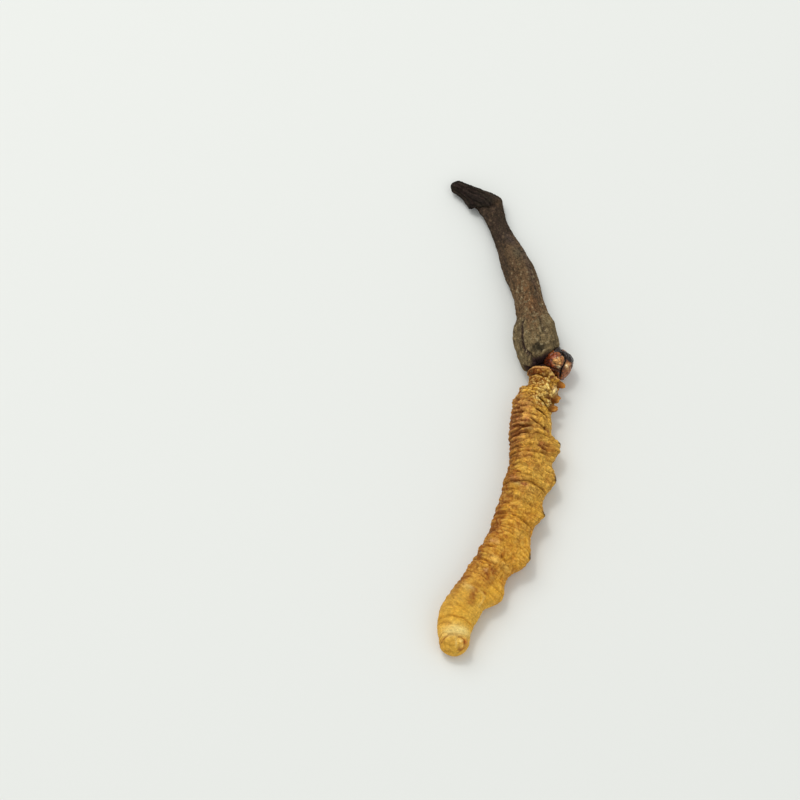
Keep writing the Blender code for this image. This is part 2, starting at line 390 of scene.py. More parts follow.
# %% Swellings
# Broad swellings: distance, degrees, half-length, half-width, height.
SWELLINGS = (
    (33.9, 0.0, 1.9, 1.6, 0.30),
    (32.3, 168.0, 1.3, 1.4, 0.22),
    (24.9, 168.0, 1.0, 1.3, 0.26),
    (29.4, 168.0, 0.6, 1.2, 0.14),
    (14.3, 168.0, 0.6, 1.1, 0.18),
    (11.2, 168.0, 0.7, 1.1, 0.16),
    (6.1, 0.0, 1.5, 1.8, 0.34),
    (5.4, 168.0, 1.8, 1.8, 0.26),
    (39.5, 14.0, 0.9, 0.9, 0.24),
)
swellings = sum(height * larva.patch(*where) for *where, height in SWELLINGS)
print(f"{len(SWELLINGS)} swellings, up to {swellings.max():.2f} mm high")

# %% [markdown]
# ## Rings
# A larva is ringed, which lets it bend. Each ring is a narrow crease with swollen lips. Cut
# straight across, the rings would look turned on a lathe, so each one is placed by three distances
# from the tail, and it arches between them as the real ones do.

# %% The rings' places
# Creases: distances from the tail on the back, on top and on the belly side, depth, half-width,
# and the shares of the depth that the back and the belly side have.
CREASES = (
    (1.30, 2.05, 1.90, 0.09, 0.11, 0.9, 0.2),
    (3.75, 4.38, 3.75, 0.20, 0.09, 1.0, 1.0),
    (6.90, 7.65, 7.60, 0.08, 0.20, 1.0, 0.6),
    (8.60, 9.15, 9.40, 0.13, 0.13, 1.0, 0.1),
    (12.35, 12.80, 13.05, 0.22, 0.12, 1.0, 0.5),
    (13.50, 14.10, 14.10, 0.12, 0.16, 1.0, 0.8),
    (16.80, 17.30, 17.60, 0.07, 0.18, 1.0, 0.2),
    (18.00, 18.35, 18.60, 0.15, 0.16, 1.0, 0.2),
    (19.30, 19.80, 19.10, 0.26, 0.15, 0.9, 1.0),
    (20.25, 20.60, 20.80, 0.12, 0.17, 1.0, 0.0),
    (21.85, 22.00, 22.30, 0.12, 0.16, 1.3, 0.0),
    (23.30, 23.60, 23.70, 0.16, 0.15, 1.2, 0.3),
    (24.05, 24.90, 24.70, 0.38, 0.15, 1.0, 0.8),
    (25.35, 25.60, 25.60, 0.18, 0.16, 1.0, 0.0),
    (27.60, 28.20, 28.30, 0.17, 0.24, 1.2, 0.4),
    (28.60, 29.05, 29.10, 0.22, 0.12, 1.2, 0.3),
    (29.90, 30.00, 30.30, 0.26, 0.12, 1.0, 0.6),
    (30.70, 30.90, 31.00, 0.08, 0.16, 1.2, 0.0),
    (31.36, 31.75, 31.30, 0.36, 0.15, 1.0, 0.5),
    (37.55, 37.90, 38.10, 0.20, 0.16, 1.0, 0.8),
    (39.30, 39.60, 39.70, 0.20, 0.16, 1.0, 0.8),
)
print(f"{len(CREASES)} creases")

# %% Creases between the rings
CREASE_POWER = 1.6
LIP_SHARE = 0.24  # height of the lips, as a share of the depth
LIP_PLACE = 2.4  # in half-widths of the crease
LIP_WIDTH = 1.5
WANDER = 0.10  # mm
VARIATION = 0.35  # share of the depth


def crease_depth(skin):
    """Depth of the rings: exp(-|distance / half-width|^1.6), wandering a little, less its lips."""
    wander = WANDER * layered_noise(skin.scaled(1.6, 1.1), seed=21, layers=2)
    vary = 1.0 + VARIATION * smooth_noise(skin.scaled(2.0, 1.3), seed=25)
    belly_side = np.clip(np.cos(skin.angles), 0.0, None) ** 2
    back_side = np.clip(-np.cos(skin.angles), 0.0, None) ** 2
    total = np.zeros(skin.shape)
    for back, top, belly, depth, half_width, back_share, belly_share in CREASES:
        gap = np.abs(skin.ring(back, top, belly) + wander)
        left = 1.0 + (back_share - 1.0) * back_side + (belly_share - 1.0) * belly_side
        lips = LIP_SHARE * bell(gap - LIP_PLACE * half_width, LIP_WIDTH * half_width)
        total += depth * left * vary * (np.exp(-((gap / half_width) ** CREASE_POWER)) - lips)
    return total


creases = crease_depth(larva)
print(f"creases are up to {creases.max():.2f} mm deep")

# %% [markdown]
# ## Single grooves and ridges
# The strongest wrinkles belong to this one larva. Noise can't give them, so each is drawn: a bent
# line, its depth and its half-width. The hidden flank gets the mirror image of each, because it
# would be as wrinkled, and nobody knows how.

# %% Strokes on both flanks
def on_both_flanks(marks):
    """Marks on the upper flank, and their mirror image on the one that the body lies on."""
    return marks, tuple((place, 2.0 * BELLY_TURN - degrees) for place, degrees in marks)


def drawn(skin, strokes):
    """Sum of single strokes, each drawn on both flanks: the lines of one are those of the other."""
    total = np.zeros(skin.shape)
    for marks, height, half_width in strokes:
        for flank in on_both_flanks(marks):
            total += height * skin.stroke(flank, half_width)
    return total


print("the twin of 30 degrees is at", on_both_flanks(((0.0, 30.0),))[1][0][1])

# %% Grooves of the neck and the forward rings
# Single grooves: their marks, depth and half-width. At 168 degrees they reach the back's midline.
FORWARD_GROOVES = (
    (((32.05, 168), (32.00, 140), (32.25, 128), (32.50, 115)), 0.36, 0.19),
    (((33.20, 168), (32.95, 134), (32.86, 121), (32.62, 106), (32.69, 92), (32.86, 80)), 0.40, 0.16),
    (((33.75, 168), (33.40, 130), (33.50, 112), (33.25, 98)), 0.24, 0.14),
    (((33.90, 97), (33.81, 90), (33.50, 78), (33.10, 68), (32.80, 56), (32.42, 44)), 0.38, 0.15),
    (((34.30, 168), (34.15, 140), (34.20, 118)), 0.20, 0.14),
    (((34.85, 168), (34.80, 141), (34.68, 122), (34.73, 103)), 0.36, 0.15),
    (((35.35, 168), (35.25, 145), (35.30, 121)), 0.30, 0.14),
    (((35.95, 168), (35.86, 146), (35.54, 123), (35.46, 112), (35.54, 96)), 0.28, 0.13),
    (((36.02, 93), (35.94, 84), (35.83, 74)), 0.24, 0.12),
    (((36.60, 168), (36.49, 158), (36.10, 130)), 0.30, 0.14),
    (((35.46, 78), (35.30, 68), (35.14, 54), (34.80, 40), (34.30, 26)), 0.60, 0.17),
    (((37.15, 80), (37.12, 64), (37.05, 50), (36.66, 34), (36.20, 22)), 0.60, 0.17),
    (((34.55, 100), (34.40, 84), (34.20, 66)), 0.30, 0.13),
    (((36.30, 112), (36.20, 92), (36.05, 74)), 0.28, 0.13),
    (
        ((41.35, 180), (41.10, 163), (41.05, 143), (41.00, 124), (40.70, 110), (40.45, 93), (40.60, 80)),
        0.46,
        0.17,
    ),
    (((40.10, 72), (40.00, 48)), 0.38, 0.14),
    (((40.25, 36), (39.95, 22)), 0.32, 0.14),
    (((38.65, 82), (38.66, 64), (38.75, 46)), 0.38, 0.13),
    (((38.85, 99), (39.30, 85)), 0.30, 0.12),
    (((36.80, 127), (36.90, 109)), 0.32, 0.12),
    (((36.78, 101), (37.15, 92)), 0.26, 0.12),
    (((38.70, 196), (38.65, 160), (38.60, 138)), 0.20, 0.22),
    (((37.10, 190), (37.05, 160), (36.95, 142)), 0.14, 0.15),
    (((35.60, 196), (35.60, 158)), 0.14, 0.13),
)
grooves = drawn(larva, FORWARD_GROOVES)
print(f"{2 * len(FORWARD_GROOVES)} grooves, up to {grooves.max():.2f} mm deep")

# %% Grooves between the legs and at the tail
REAR_GROOVES = (
    (((29.00, 84), (29.30, 64), (29.14, 52), (29.10, 40), (29.00, 27)), 0.24, 0.18),
    (((29.04, 27), (28.70, 16), (28.20, 20)), 0.22, 0.17),
    (((30.10, 68), (29.80, 54), (29.67, 38), (29.40, 26)), 0.44, 0.16),
    (((30.60, 54), (30.35, 42), (30.20, 28)), 0.24, 0.12),
    (((24.90, 64), (24.75, 34), (24.60, 12)), 0.18, 0.17),
    (((23.70, 74), (23.60, 58), (23.30, 44), (22.90, 36)), 0.07, 0.12),
    (((24.05, 74), (24.10, 53), (23.80, 33)), 0.09, 0.11),
    (((23.25, 150), (23.30, 130), (23.50, 96)), 0.08, 0.14),
    (((21.10, 56), (21.25, 50), (21.60, 42)), 0.30, 0.15),
    (((22.60, 52), (22.20, 42), (21.70, 36), (21.20, 34)), 0.24, 0.13),
    (((19.75, 85), (19.50, 70), (19.44, 58), (19.30, 40), (19.00, 24)), 0.22, 0.18),
    (((15.80, 130), (15.95, 100)), 0.08, 0.14),
    (((14.00, 168), (14.25, 150), (14.60, 128), (15.10, 103)), 0.18, 0.15),
    (((14.90, 84), (14.67, 78), (14.10, 64), (13.93, 45), (13.84, 27), (14.20, 16)), 0.28, 0.16),
    (((13.40, 150), (13.65, 128), (14.10, 100)), 0.10, 0.14),
    (((11.95, 104), (12.05, 86), (12.05, 73)), 0.14, 0.10),
    (((9.10, 168), (9.25, 139), (9.75, 126), (9.83, 112)), 0.14, 0.11),
    (((8.60, 52), (8.06, 39)), 0.12, 0.10),
    (((6.86, 84), (6.94, 70)), 0.12, 0.10),
    (((1.86, 72), (1.83, 64), (1.54, 55), (1.24, 53), (0.95, 47), (0.66, 42)), 0.18, 0.13),
    (((0.66, 42), (0.44, 46), (0.48, 60), (0.62, 70)), 0.16, 0.14),
)
grooves += drawn(larva, REAR_GROOVES)
print(f"{2 * len(REAR_GROOVES)} more grooves")

# %% Ridges
# Single ridges: marks, height and half-width.
RIDGES = (
    (((40.55, 168), (40.35, 130), (40.05, 105), (40.20, 88)), 0.22, 0.22),
    (((39.50, 86), (39.90, 72)), 0.26, 0.19),
    (((38.98, 82), (38.95, 64), (39.05, 50)), 0.26, 0.15),
    (((38.20, 116), (38.20, 92), (38.10, 70)), 0.16, 0.24),
    (((37.05, 130), (37.05, 110)), 0.18, 0.13),
    (((36.95, 88), (37.05, 70)), 0.24, 0.14),
    (((33.15, 150), (33.04, 119), (33.00, 101), (33.04, 84)), 0.11, 0.15),
    (((32.05, 113), (32.20, 99), (32.43, 80)), 0.14, 0.18),
    (((31.50, 92), (31.60, 77), (31.70, 64)), 0.12, 0.12),
    (((28.45, 150), (28.62, 104), (28.60, 86)), 0.10, 0.18),
    (((25.05, 160), (25.15, 120), (25.20, 92)), 0.10, 0.17),
    (((24.50, 68), (24.42, 49), (24.10, 33)), 0.11, 0.18),
    (((13.70, 48), (13.60, 31), (13.20, 12)), 0.12, 0.26),
    (((37.75, 196), (37.70, 160), (37.75, 138)), 0.13, 0.34),
    (((36.35, 196), (36.30, 160), (36.25, 140)), 0.10, 0.30),
    (((8.92, 64), (8.92, 51), (8.66, 38), (8.09, 34), (7.43, 34), (6.95, 36)), 0.09, 0.14),
)
ridges = drawn(larva, RIDGES)
print(f"{2 * len(RIDGES)} ridges, up to {ridges.max():.2f} mm high")

# %% Pits
# Pits: distance, degrees, half-length, half-width, depth.
PITS = (
    (33.12, 108, 0.14, 0.16, 0.26),
    (32.62, 41, 0.28, 0.24, 0.44),
    (31.80, 18, 0.34, 0.20, 0.30),
    (29.14, 50, 0.18, 0.20, 0.20),
    (22.39, 91, 0.12, 0.12, 0.20),
    (28.75, 120, 0.12, 0.20, 0.16),
    (40.70, 84, 0.18, 0.24, 0.24),
)
grooves += sum(depth * larva.patch(*where) for *where, depth in PITS)
print(f"{len(PITS)} pits")

# %% [markdown]
# ## Collar and true legs
# Behind the head the skin ends in a rolled, uneven collar. A straight end would look sawn off, so
# its edge is a line round the body. The three pairs of true legs just behind it are small blunt
# knobs that overhang. A dome on the sheet can't overhang, so there the skin is pushed out sideways.

# %% Collar
# The collar's edge, round the body: degrees and distance from the tail.
COLLAR_EDGE = (
    (50, 40.8),
    (62, 41.3),
    (70, 41.7),
    (80, 41.9),
    (95, 41.95),
    (108, 42.1),
    (128, 42.4),
    (152, 42.5),
    (200, 42.5),
    (290, 42.3),
    (345, 41.2),
)
HEAD_SOCKET = (42.0, 14.0, 1.3, 1.7)  # where the collar gives way to the head

edge_degrees, edge_places = np.array(COLLAR_EDGE).T
past_collar = larva.s - np.interp(np.degrees(larva.angles), edge_degrees, edge_places, period=360.0)
collar_roll = bell(past_collar + 0.45, 0.42)
collar_end = smooth_step(past_collar, -0.05, 0.30)
print(f"the collar's edge lies between {edge_places.min()} and {edge_places.max()} mm")

# %% Knobs of the true legs
# Distance, degrees, radius, and how far the skin is pushed out to the right and towards the head.
KNOBS = (
    (40.25, 12.0, 0.52, (0.68, -0.32)),
    (38.75, 10.0, 0.60, (0.56, -0.16)),
    (37.00, 12.0, 0.54, (0.80, -0.06)),
)
TWIN_SHARE = 0.5  # the twin below is pressed flatter
LUMPY_EDGE = 0.14
LUMPY_TOP = 0.22


def knob_push(skin, surface):
    """Each knob is the skin within a radius of a spot, pushed out to a blunt egg: the vector times
    sqrt(1 - distance^3), distances being measured in space. Its twin below is pressed to half of
    that. Also returned is the smallest distance of each point from a spot, in radii."""
    push = np.zeros(surface.shape)
    closest = np.full(skin.shape, FAR)
    lumps = layered_noise(skin.scaled(0.30, 0.30), seed=61, layers=2)
    for place, degrees, radius, vector in KNOBS:
        for side, share in ((degrees, 1.0), (2.0 * BELLY_TURN - degrees, TWIN_SHARE)):
            spot = surface.reshape(-1, 3)[np.argmin(skin.distance(place, side, 1.0, 1.0))]
            distance = np.linalg.norm(surface - spot, axis=-1) / radius * (1.0 + LUMPY_EDGE * lumps)
            profile = np.sqrt(np.clip(1.0 - distance**3, 0.0, 1.0)) * (1.0 + LUMPY_TOP * lumps)
            push[..., :2] += share * profile[..., None] * np.array(vector)
            closest = np.minimum(closest, distance)
    return push, closest


print(f"{2 * len(KNOBS)} true legs")

# %% [markdown]
# ## Folds, crinkles and knots
# The small wrinkles are too many to draw one by one. They are the lines where a noise passes
# through zero: those meander, fork and stop, as real ones do. Stretched round the body, they are
# the folds of the back; smaller and less stretched, the crinkles of the flank. Behind the head the
# skin is knotted, which is made of cells. The tail is nearly smooth.

# %% Kinds of skin
back_side = (1.0 - np.cos(larva.turn_from(BELLY_TURN))) / 2.0
forward = smooth_step(larva.s, 29.0, 33.5)
neck = smooth_step(larva.s + 1.2 * (1.0 - back_side), 35.6, 37.4)
tail = 1.0 - smooth_step(larva.s, 8.0, 13.0)
cap = 1.0 - smooth_step(larva.s, 3.6, 4.6)
folded_back = back_side * forward * (1.0 - neck)
pebbled = smooth_step(legs, 0.1, 0.8) * smooth_step(larva.s, 19.0, 25.0)
print(f"neck skin covers {neck.mean():.0%} of the grid, tail skin {tail.mean():.0%}")


# %% Folds across the back
def crumpled(field, reach=0.5, power=0.65):
    """0 in a crack, where the field passes through zero, and up to 1 on the swelling between two
    cracks: (|field| / reach)^power, stopped at 1."""
    return np.minimum(np.abs(field) / reach, 1.0) ** power


warp = 0.45 * layered_noise(larva.scaled(1.1, 1.1), seed=35, layers=2)[..., None]
fold_field = smooth_noise(larva.scaled(0.52, 4.2) + 0.7 * warp, seed=41)
fold_field += 0.3 * smooth_noise(larva.scaled(0.26, 1.6) + 0.7 * warp, seed=42)
fold_depth = 0.03 + 0.14 * back_side + 0.07 * back_side * forward
fold_depth *= (1.0 - 0.8 * neck) * (1.0 - 0.5 * tail)
print(f"folds are up to {fold_depth.max():.2f} mm deep")

# %% Crinkles of the flank, fine cracks and streaks
crinkle_field = layered_noise(larva.scaled(0.42, 0.50, 1.3 * legs) + warp, seed=51, layers=2)
crinkle_depth = 0.065 + 0.05 * pebbled + 0.035 * forward
crinkle_depth = crinkle_depth - 0.02 * tail - 0.03 * cap - 0.06 * folded_back
fine_field = smooth_noise(larva.scaled(0.22, 0.28, 1.3 * legs) + 2.0 * warp, seed=57)
fine_depth = 0.055 * (1.0 - 0.8 * tail)
streak_field = smooth_noise(larva.scaled(0.24, 1.5) + 1.5 * warp, seed=59)
streak_depth = 0.045 * (1.0 - neck) * (1.0 - 0.5 * cap)
print(f"crinkles are up to {crinkle_depth.max():.2f} mm deep")

# %% Knots of the neck, and the small cushion of the last leg
near_knot, next_knot = cells(larva.scaled(0.60, 0.95) + 1.6 * warp, seed=65)
knots = np.clip((next_knot - near_knot) / 0.3, 0.0, 1.0) ** 0.6
knot_cracks = bell(next_knot - near_knot, 0.08)

ROSETTE = (1.05, 60.0)
ROSETTE_RADIUS = 0.72
rosette_ring = larva.distance(*ROSETTE, ROSETTE_RADIUS, ROSETTE_RADIUS)
rosette = 0.14 * bell(rosette_ring - 0.55, 0.35) - 0.10 * bell(rosette_ring - 1.12, 0.18)
print(f"cracks between knots cover {knot_cracks.mean():.0%}")

# %% The larva's coarse relief
COLLAR_HEIGHT = 0.34
COLLAR_DROP = 0.75
SOCKET_DEPTH = 0.55
undulation = 0.09 * layered_noise(larva.scaled(2.2, 1.8), seed=31, layers=2)
larva_height = legs - creases - grooves + ridges + swellings + undulation + rosette + 0.03
larva_height += COLLAR_HEIGHT * collar_roll - COLLAR_DROP * collar_end
larva_height -= SOCKET_DEPTH * larva.patch(*HEAD_SOCKET)
print(f"coarse relief from {larva_height.min():.2f} to {larva_height.max():.2f} mm")

# %% The fine relief on top
KNOT_HEIGHT = 0.17
# The knobs are found on the coarse skin first, because they are smoother than what is round them.
knob_near = knob_push(larva, larva.points(larva_height, LARVA_FLATNESS))[1]
plain = 0.6 + 0.4 * smooth_step(knob_near, 0.5, 1.3)
larva_height += 0.04 * back_side - plain * fold_depth * (1.0 - crumpled(fold_field))
larva_height -= plain * crinkle_depth * (1.0 - crumpled(crinkle_field, 0.6, 1.0))
larva_height -= plain * fine_depth * (1.0 - crumpled(fine_field, 0.5, 1.0))
larva_height -= plain * streak_depth * (1.0 - crumpled(streak_field, 0.5, 1.0))
larva_height += KNOT_HEIGHT * plain * neck * (1.0 - collar_end) * (knots - 0.8)
larva_base = larva.points(larva_height, LARVA_FLATNESS)
knobs, knob_near = knob_push(larva, larva_base)
larva_points = larva_base + knobs
print(f"relief from {larva_height.min():.2f} to {larva_height.max():.2f} mm")

# %% [markdown]
# ## Colour as paint on the grid
# The skin is golden where it is thick, redder where the fungus shows through, and dark in every
# crack, partly its own brown and partly painted shade. Crests and knots get painted highlights.
# Colours could come from noise nodes alone, but then they would miss the cracks. The fields that
# shaped the surface mix the paint too, coat over coat, so colour and form agree. The result is
# stored with each point, and the material adds what is finer than the grid.

# %% Paint and coats
def paint(red, green, blue):
    """A screen colour from 0 to 255 as the linear light that a material works in."""
    value = np.array((red, green, blue)) / 255.0
    return np.where(value > 0.04045, ((value + 0.055) / 1.055) ** 2.4, value / 12.92)


def lay_over(under, colour, cover):
    """Paint a colour over another: cover is 0 for none and 1 for all of it."""
    cover = np.clip(cover, 0.0, 1.0)[..., None]
    return under * (1.0 - cover) + colour * cover


def coated(tint, coats):
    """Coats laid over a paint one after another, each a colour and its cover."""
    for colour, cover in coats:
        tint = lay_over(tint, colour, cover)
    return tint


def mean_paint(tint):
    """The mean of each channel over the whole grid."""
    return tint.reshape(-1, tint.shape[-1]).mean(axis=0).round(3)


print("half of white over black is", lay_over(np.zeros(3), np.ones(3), np.array(0.5)))

# %% Ground coats of the larva
GOLD = paint(228, 172, 58)
TAN_BROWN = paint(196, 124, 44)
LIGHT_GOLD = paint(244, 194, 92)
TAIL_YELLOW = paint(232, 186, 74)
BACK_BROWN_AND_SHADE = paint(140, 82, 30)
PALE = paint(252, 228, 146)

blotches = layered_noise(larva.scaled(1.7, 1.4), seed=71, layers=3)
flecks = layered_noise(larva.scaled(0.55, 0.65), seed=75, layers=2)
mottle = layered_noise(larva.scaled(0.38, 0.45) + warp, seed=79, layers=2)
clouded = bell(larva.s - 12.5, 7.0) * (1.0 + 0.6 * blotches + 0.5 * flecks)
bright_side = smooth_step(larva.s, 20.0, 26.0) * (1.0 - neck) * (1.0 - 0.7 * back_side)
# The back's outer edge is darkened: partly its own brown, partly painted shade where it turns down to the
# floor.
edge = smooth_step(back_side + 0.08 * blotches, 0.76, 0.98) * smooth_step(larva.s, 5.0, 9.0)
band = bell(larva.s - 2.6 - 0.2 * blotches, 0.80) * bell(larva.turn_from(82.0) * larva.radius, 1.9)
ground_coats = (
    (TAN_BROWN, smooth_step(blotches + 0.8 * back_side + 0.5 * mottle, 0.1, 1.8)),
    (TAN_BROWN, 0.40 * smooth_step(flecks, 0.0, 1.0) * (1.0 - 0.6 * tail)),
    (TAN_BROWN, 0.42 * clouded),
    (LIGHT_GOLD, 0.45 * bright_side),
    (TAIL_YELLOW, 0.65 * tail * smooth_step(blotches, -0.9, 0.6)),
    (BACK_BROWN_AND_SHADE, (0.72 - 0.25 * forward) * edge),
    (PALE, 0.95 * band * (0.75 + 0.25 * smooth_step(streak_field, -0.3, 0.3))),
)
larva_tint = coated(np.tile(GOLD, (*larva.shape, 1)), ground_coats)
print("ground:", mean_paint(larva_tint))

# %% Soft patches
def patched(tint, patches):
    """Soft patches laid over a paint: a patch, stepped from 0 to 1, times its cover and mottling."""
    for colour, place, degrees, half_length, half_width, cover in patches:
        spot = smooth_step(larva.patch(place, degrees, half_length, half_width), 0.0, 1.1)
        tint = lay_over(tint, colour, cover * spot * (1.0 + 0.5 * mottle))
    return tint


print(f"mottling runs from {mottle.min():.2f} to {mottle.max():.2f}")

# %% Browned and reddened places
BACK_ROSE = paint(206, 140, 84)
BLOTCH_BROWN = paint(150, 84, 28)
PINKISH = paint(226, 168, 104)
RUST = paint(160, 84, 30)
ROSE = paint(208, 132, 80)
# Patches: colour, distance, degrees, half-length, half-width, cover.
BROWN_PATCHES = (
    (PALE, 1.32, 66, 0.20, 0.20, 0.60),
    (LIGHT_GOLD, 0.80, 62, 0.30, 0.26, 0.90),
    (BACK_ROSE, 33.4, 130, 3.4, 2.8, 0.75),
    (BACK_ROSE, 36.0, 105, 0.9, 0.9, 0.50),
    (BACK_ROSE, 24.9, 120, 0.5, 1.6, 0.50),
    (BLOTCH_BROWN, 16.3, 110, 1.0, 1.4, 0.40),
    (BLOTCH_BROWN, 14.85, 72, 0.70, 0.45, 0.55),
    (BLOTCH_BROWN, 14.40, 148, 0.50, 0.90, 0.55),
    (BLOTCH_BROWN, 11.30, 70, 1.5, 1.00, 0.75),
    (BLOTCH_BROWN, 10.60, 54, 1.0, 0.55, 0.30),
    (BLOTCH_BROWN, 8.80, 80, 0.80, 0.80, 0.60),
    (BLOTCH_BROWN, 9.42, 71, 0.18, 0.24, 0.60),
    (BLOTCH_BROWN, 9.17, 45, 0.24, 0.34, 0.55),
    (BLOTCH_BROWN, 7.80, 72, 0.70, 0.75, 0.75),
    (BLOTCH_BROWN, 6.85, 66, 0.45, 0.80, 0.55),
    (BLOTCH_BROWN, 9.30, 140, 0.50, 1.00, 0.45),
    (BLOTCH_BROWN, 3.50, 122, 0.35, 0.80, 0.40),
    (BLOTCH_BROWN, 18.9, 128, 1.6, 1.2, 0.38),
    (BLOTCH_BROWN, 22.2, 130, 0.9, 1.3, 0.38),
    (ROSE, 29.9, 52, 0.8, 0.9, 0.75),
    (RUST, 30.0, 50, 0.60, 0.35, 0.85),
    (RUST, 29.6, 32, 0.9, 0.6, 0.60),
    (ROSE, 24.42, 88, 0.35, 0.7, 0.80),
    (ROSE, 28.4, 112, 0.35, 1.3, 0.45),
    (RUST, 26.0, 24, 0.5, 0.4, 0.50),
    (PINKISH, 15.55, 118, 0.35, 1.1, 0.60),
    (PINKISH, 11.67, 90, 0.30, 0.34, 0.65),
)
larva_tint = patched(larva_tint, BROWN_PATCHES)
print("browned:", mean_paint(larva_tint))

# %% Light places, the collar and the tail's cushion
OLIVE_GOLD = paint(220, 176, 78)
COLLAR_BROWN = paint(148, 80, 32)
UMBER = paint(84, 44, 26)
CREAM = paint(244, 226, 184)
KNOB_ORANGE = paint(206, 132, 58)
SWELL_GOLD = paint(255, 208, 104)
LIGHT_PATCHES = (
    (LIGHT_GOLD, 13.45, 88, 0.55, 1.3, 0.60),
    (OLIVE_GOLD, 22.6, 62, 1.6, 1.1, 0.40),
    (OLIVE_GOLD, 17.4, 48, 1.4, 0.8, 0.40),
    (LIGHT_GOLD, 13.50, 38, 0.50, 0.85, 0.70),
    (PALE, 24.3, 111, 0.32, 0.60, 0.40),
    (LIGHT_GOLD, 24.1, 60, 0.45, 0.80, 0.60),
    (PALE, 8.50, 103, 0.50, 0.90, 0.30),
    (PALE, 38.3, 66, 1.0, 1.1, 0.35),
    (PALE, 36.98, 78, 0.24, 0.45, 0.60),
    (PALE, 38.6, 38, 0.6, 0.6, 0.40),
    (PALE, 41.0, 68, 0.7, 0.4, 0.50),
    (PALE, 33.02, 100, 0.15, 1.2, 0.35),
    (PALE, 32.2, 98, 0.20, 0.8, 0.30),
    (COLLAR_BROWN, 41.5, 118, 0.6, 2.0, 0.90),
    (UMBER, 41.8, 157, 0.6, 0.7, 0.90),
    (UMBER, 41.5, 130, 0.30, 0.90, 0.70),
    (UMBER, 41.1, 92, 0.25, 0.45, 0.60),
    (COLLAR_BROWN, 39.9, 122, 0.50, 0.9, 0.80),
    (COLLAR_BROWN, 38.1, 30, 0.7, 0.6, 0.75),
    # A painted highlight: a cream glint on a glossy patch of the neck.
    (CREAM, 39.45, 30, 0.46, 0.55, 0.95),
    (COLLAR_BROWN, 41.55, 105, 0.40, 1.4, 0.50),
    (UMBER, 41.70, 150, 0.22, 0.60, 0.90),
    (UMBER, 40.88, 91, 0.20, 0.55, 0.90),
    (UMBER, 40.50, 62, 0.25, 0.45, 0.80),
    # Painted shade: the pit at 32.6 mm is darkened with umber.
    (UMBER, 32.60, 42, 0.27, 0.25, 1.00),
    (COLLAR_BROWN, 32.10, 30, 0.50, 0.32, 0.90),
    (KNOB_ORANGE, 1.10, 44, 0.75, 0.66, 0.75),
    (SWELL_GOLD, 0.84, 57, 0.20, 0.20, 0.80),
)
larva_tint = patched(larva_tint, LIGHT_PATCHES)
print("with light places:", mean_paint(larva_tint))

# %% Painted lines
# Painted lines: colour, marks, half-width, cover.
LARVA_LINES = (
    (PALE, ((8.92, 64), (8.92, 51), (8.66, 38), (8.09, 34), (7.43, 34), (6.95, 36)), 0.16, 0.20),
    (PALE, ((1.60, 84), (1.17, 82), (0.73, 78)), 0.13, 0.80),
    (BLOTCH_BROWN, ((1.86, 72), (1.83, 64), (1.54, 55), (1.24, 53), (0.95, 47), (0.66, 42)), 0.13, 0.90),
    (BLOTCH_BROWN, ((0.66, 42), (0.44, 46), (0.48, 60), (0.62, 70)), 0.14, 0.80),
    (BLOTCH_BROWN, ((1.30, 150), (1.61, 134), (1.83, 119), (2.15, 106)), 0.12, 0.60),
    (BLOTCH_BROWN, ((9.42, 145), (9.76, 130), (10.02, 115)), 0.14, 0.50),
    (BLOTCH_BROWN, ((8.58, 119), (8.83, 108), (9.00, 99)), 0.12, 0.50),
)
for colour, marks, half_width, cover in LARVA_LINES:
    line = larva.stroke(marks, half_width)
    larva_tint = lay_over(larva_tint, colour, cover * line * (1.0 + 0.7 * mottle))
print(f"{len(LARVA_LINES)} lines:", mean_paint(larva_tint))

# %% Painted highlights on swellings, and cracks darkened with brown and painted shade
NECK_HIGHLIGHT = paint(255, 228, 140)
CREASE_BROWN_AND_SHADE = paint(96, 44, 3)
CRACK_BROWN_AND_SHADE = paint(132, 70, 10)

# Painted highlights: the crests between crinkles get a lighter gold.
raised = smooth_step(np.abs(crinkle_field), 0.25, 0.7)
# Painted highlights on the tops of the neck's knots, strongest on the side turned up at 62 degrees.
bright = neck * plain * smooth_step(knots, 0.6, 1.0) * (1.0 - smooth_step(past_collar, -1.6, -0.8))
bright *= 0.35 + 0.65 * bell(larva.turn_from(62.0), 0.9)
# Cracks, folds, creases, grooves and the knots' cracks are darkened, partly with the skin's own brown and
# partly with painted shade that grows with their depth.
crack_share = 0.42 + 0.20 * pebbled + 0.10 * forward - 0.28 * tail - 0.12 * folded_back
fine_share = 0.30 + 0.10 * forward + 0.08 * pebbled + 0.10 * neck - 0.26 * tail
streak_share = 0.35 * bell(streak_field, 0.14) * (1.0 - neck) * (1.0 - 0.4 * tail)
dark = np.clip(creases, 0.0, None) * 2.6 + grooves * (1.6 + 1.4 * forward)
relief_coats = (
    (SWELL_GOLD, (0.24 + 0.10 * neck) * plain * raised * (1.0 - 0.6 * tail)),
    (NECK_HIGHLIGHT, 0.90 * bright * smooth_step(blotches + 0.4 * mottle, -0.9, 0.5)),
    (CRACK_BROWN_AND_SHADE, plain * crack_share * bell(crinkle_field, 0.14)),
    (CRACK_BROWN_AND_SHADE, streak_share),
    (CRACK_BROWN_AND_SHADE, plain * fine_share * bell(fine_field, 0.15)),
    (CREASE_BROWN_AND_SHADE, np.minimum(3.8 * fold_depth, 0.75) * bell(fold_field, 0.17)),
    (CREASE_BROWN_AND_SHADE, 0.85 * neck * plain * knot_cracks),
    (CREASE_BROWN_AND_SHADE, (0.84 - 0.30 * tail) * smooth_step(dark, 0.12, 1.1)),
)
larva_tint = coated(larva_tint, relief_coats)
print("with cracks:", mean_paint(larva_tint))

# %% Collar's rim, painted shade of the crevice and round the knobs, and the legs' dark tips
COLLAR_RIM = paint(236, 178, 108)
CREVICE_SHADE = paint(48, 28, 24)
TIP_DARK = paint(54, 38, 28)
LEG_TIPS = ((30.75, 1.1), (26.55, 1.3), (21.9, 1.35), (16.2, 1.2))  # distance and size of each
LEG_TIP_ANGLE = 21.0

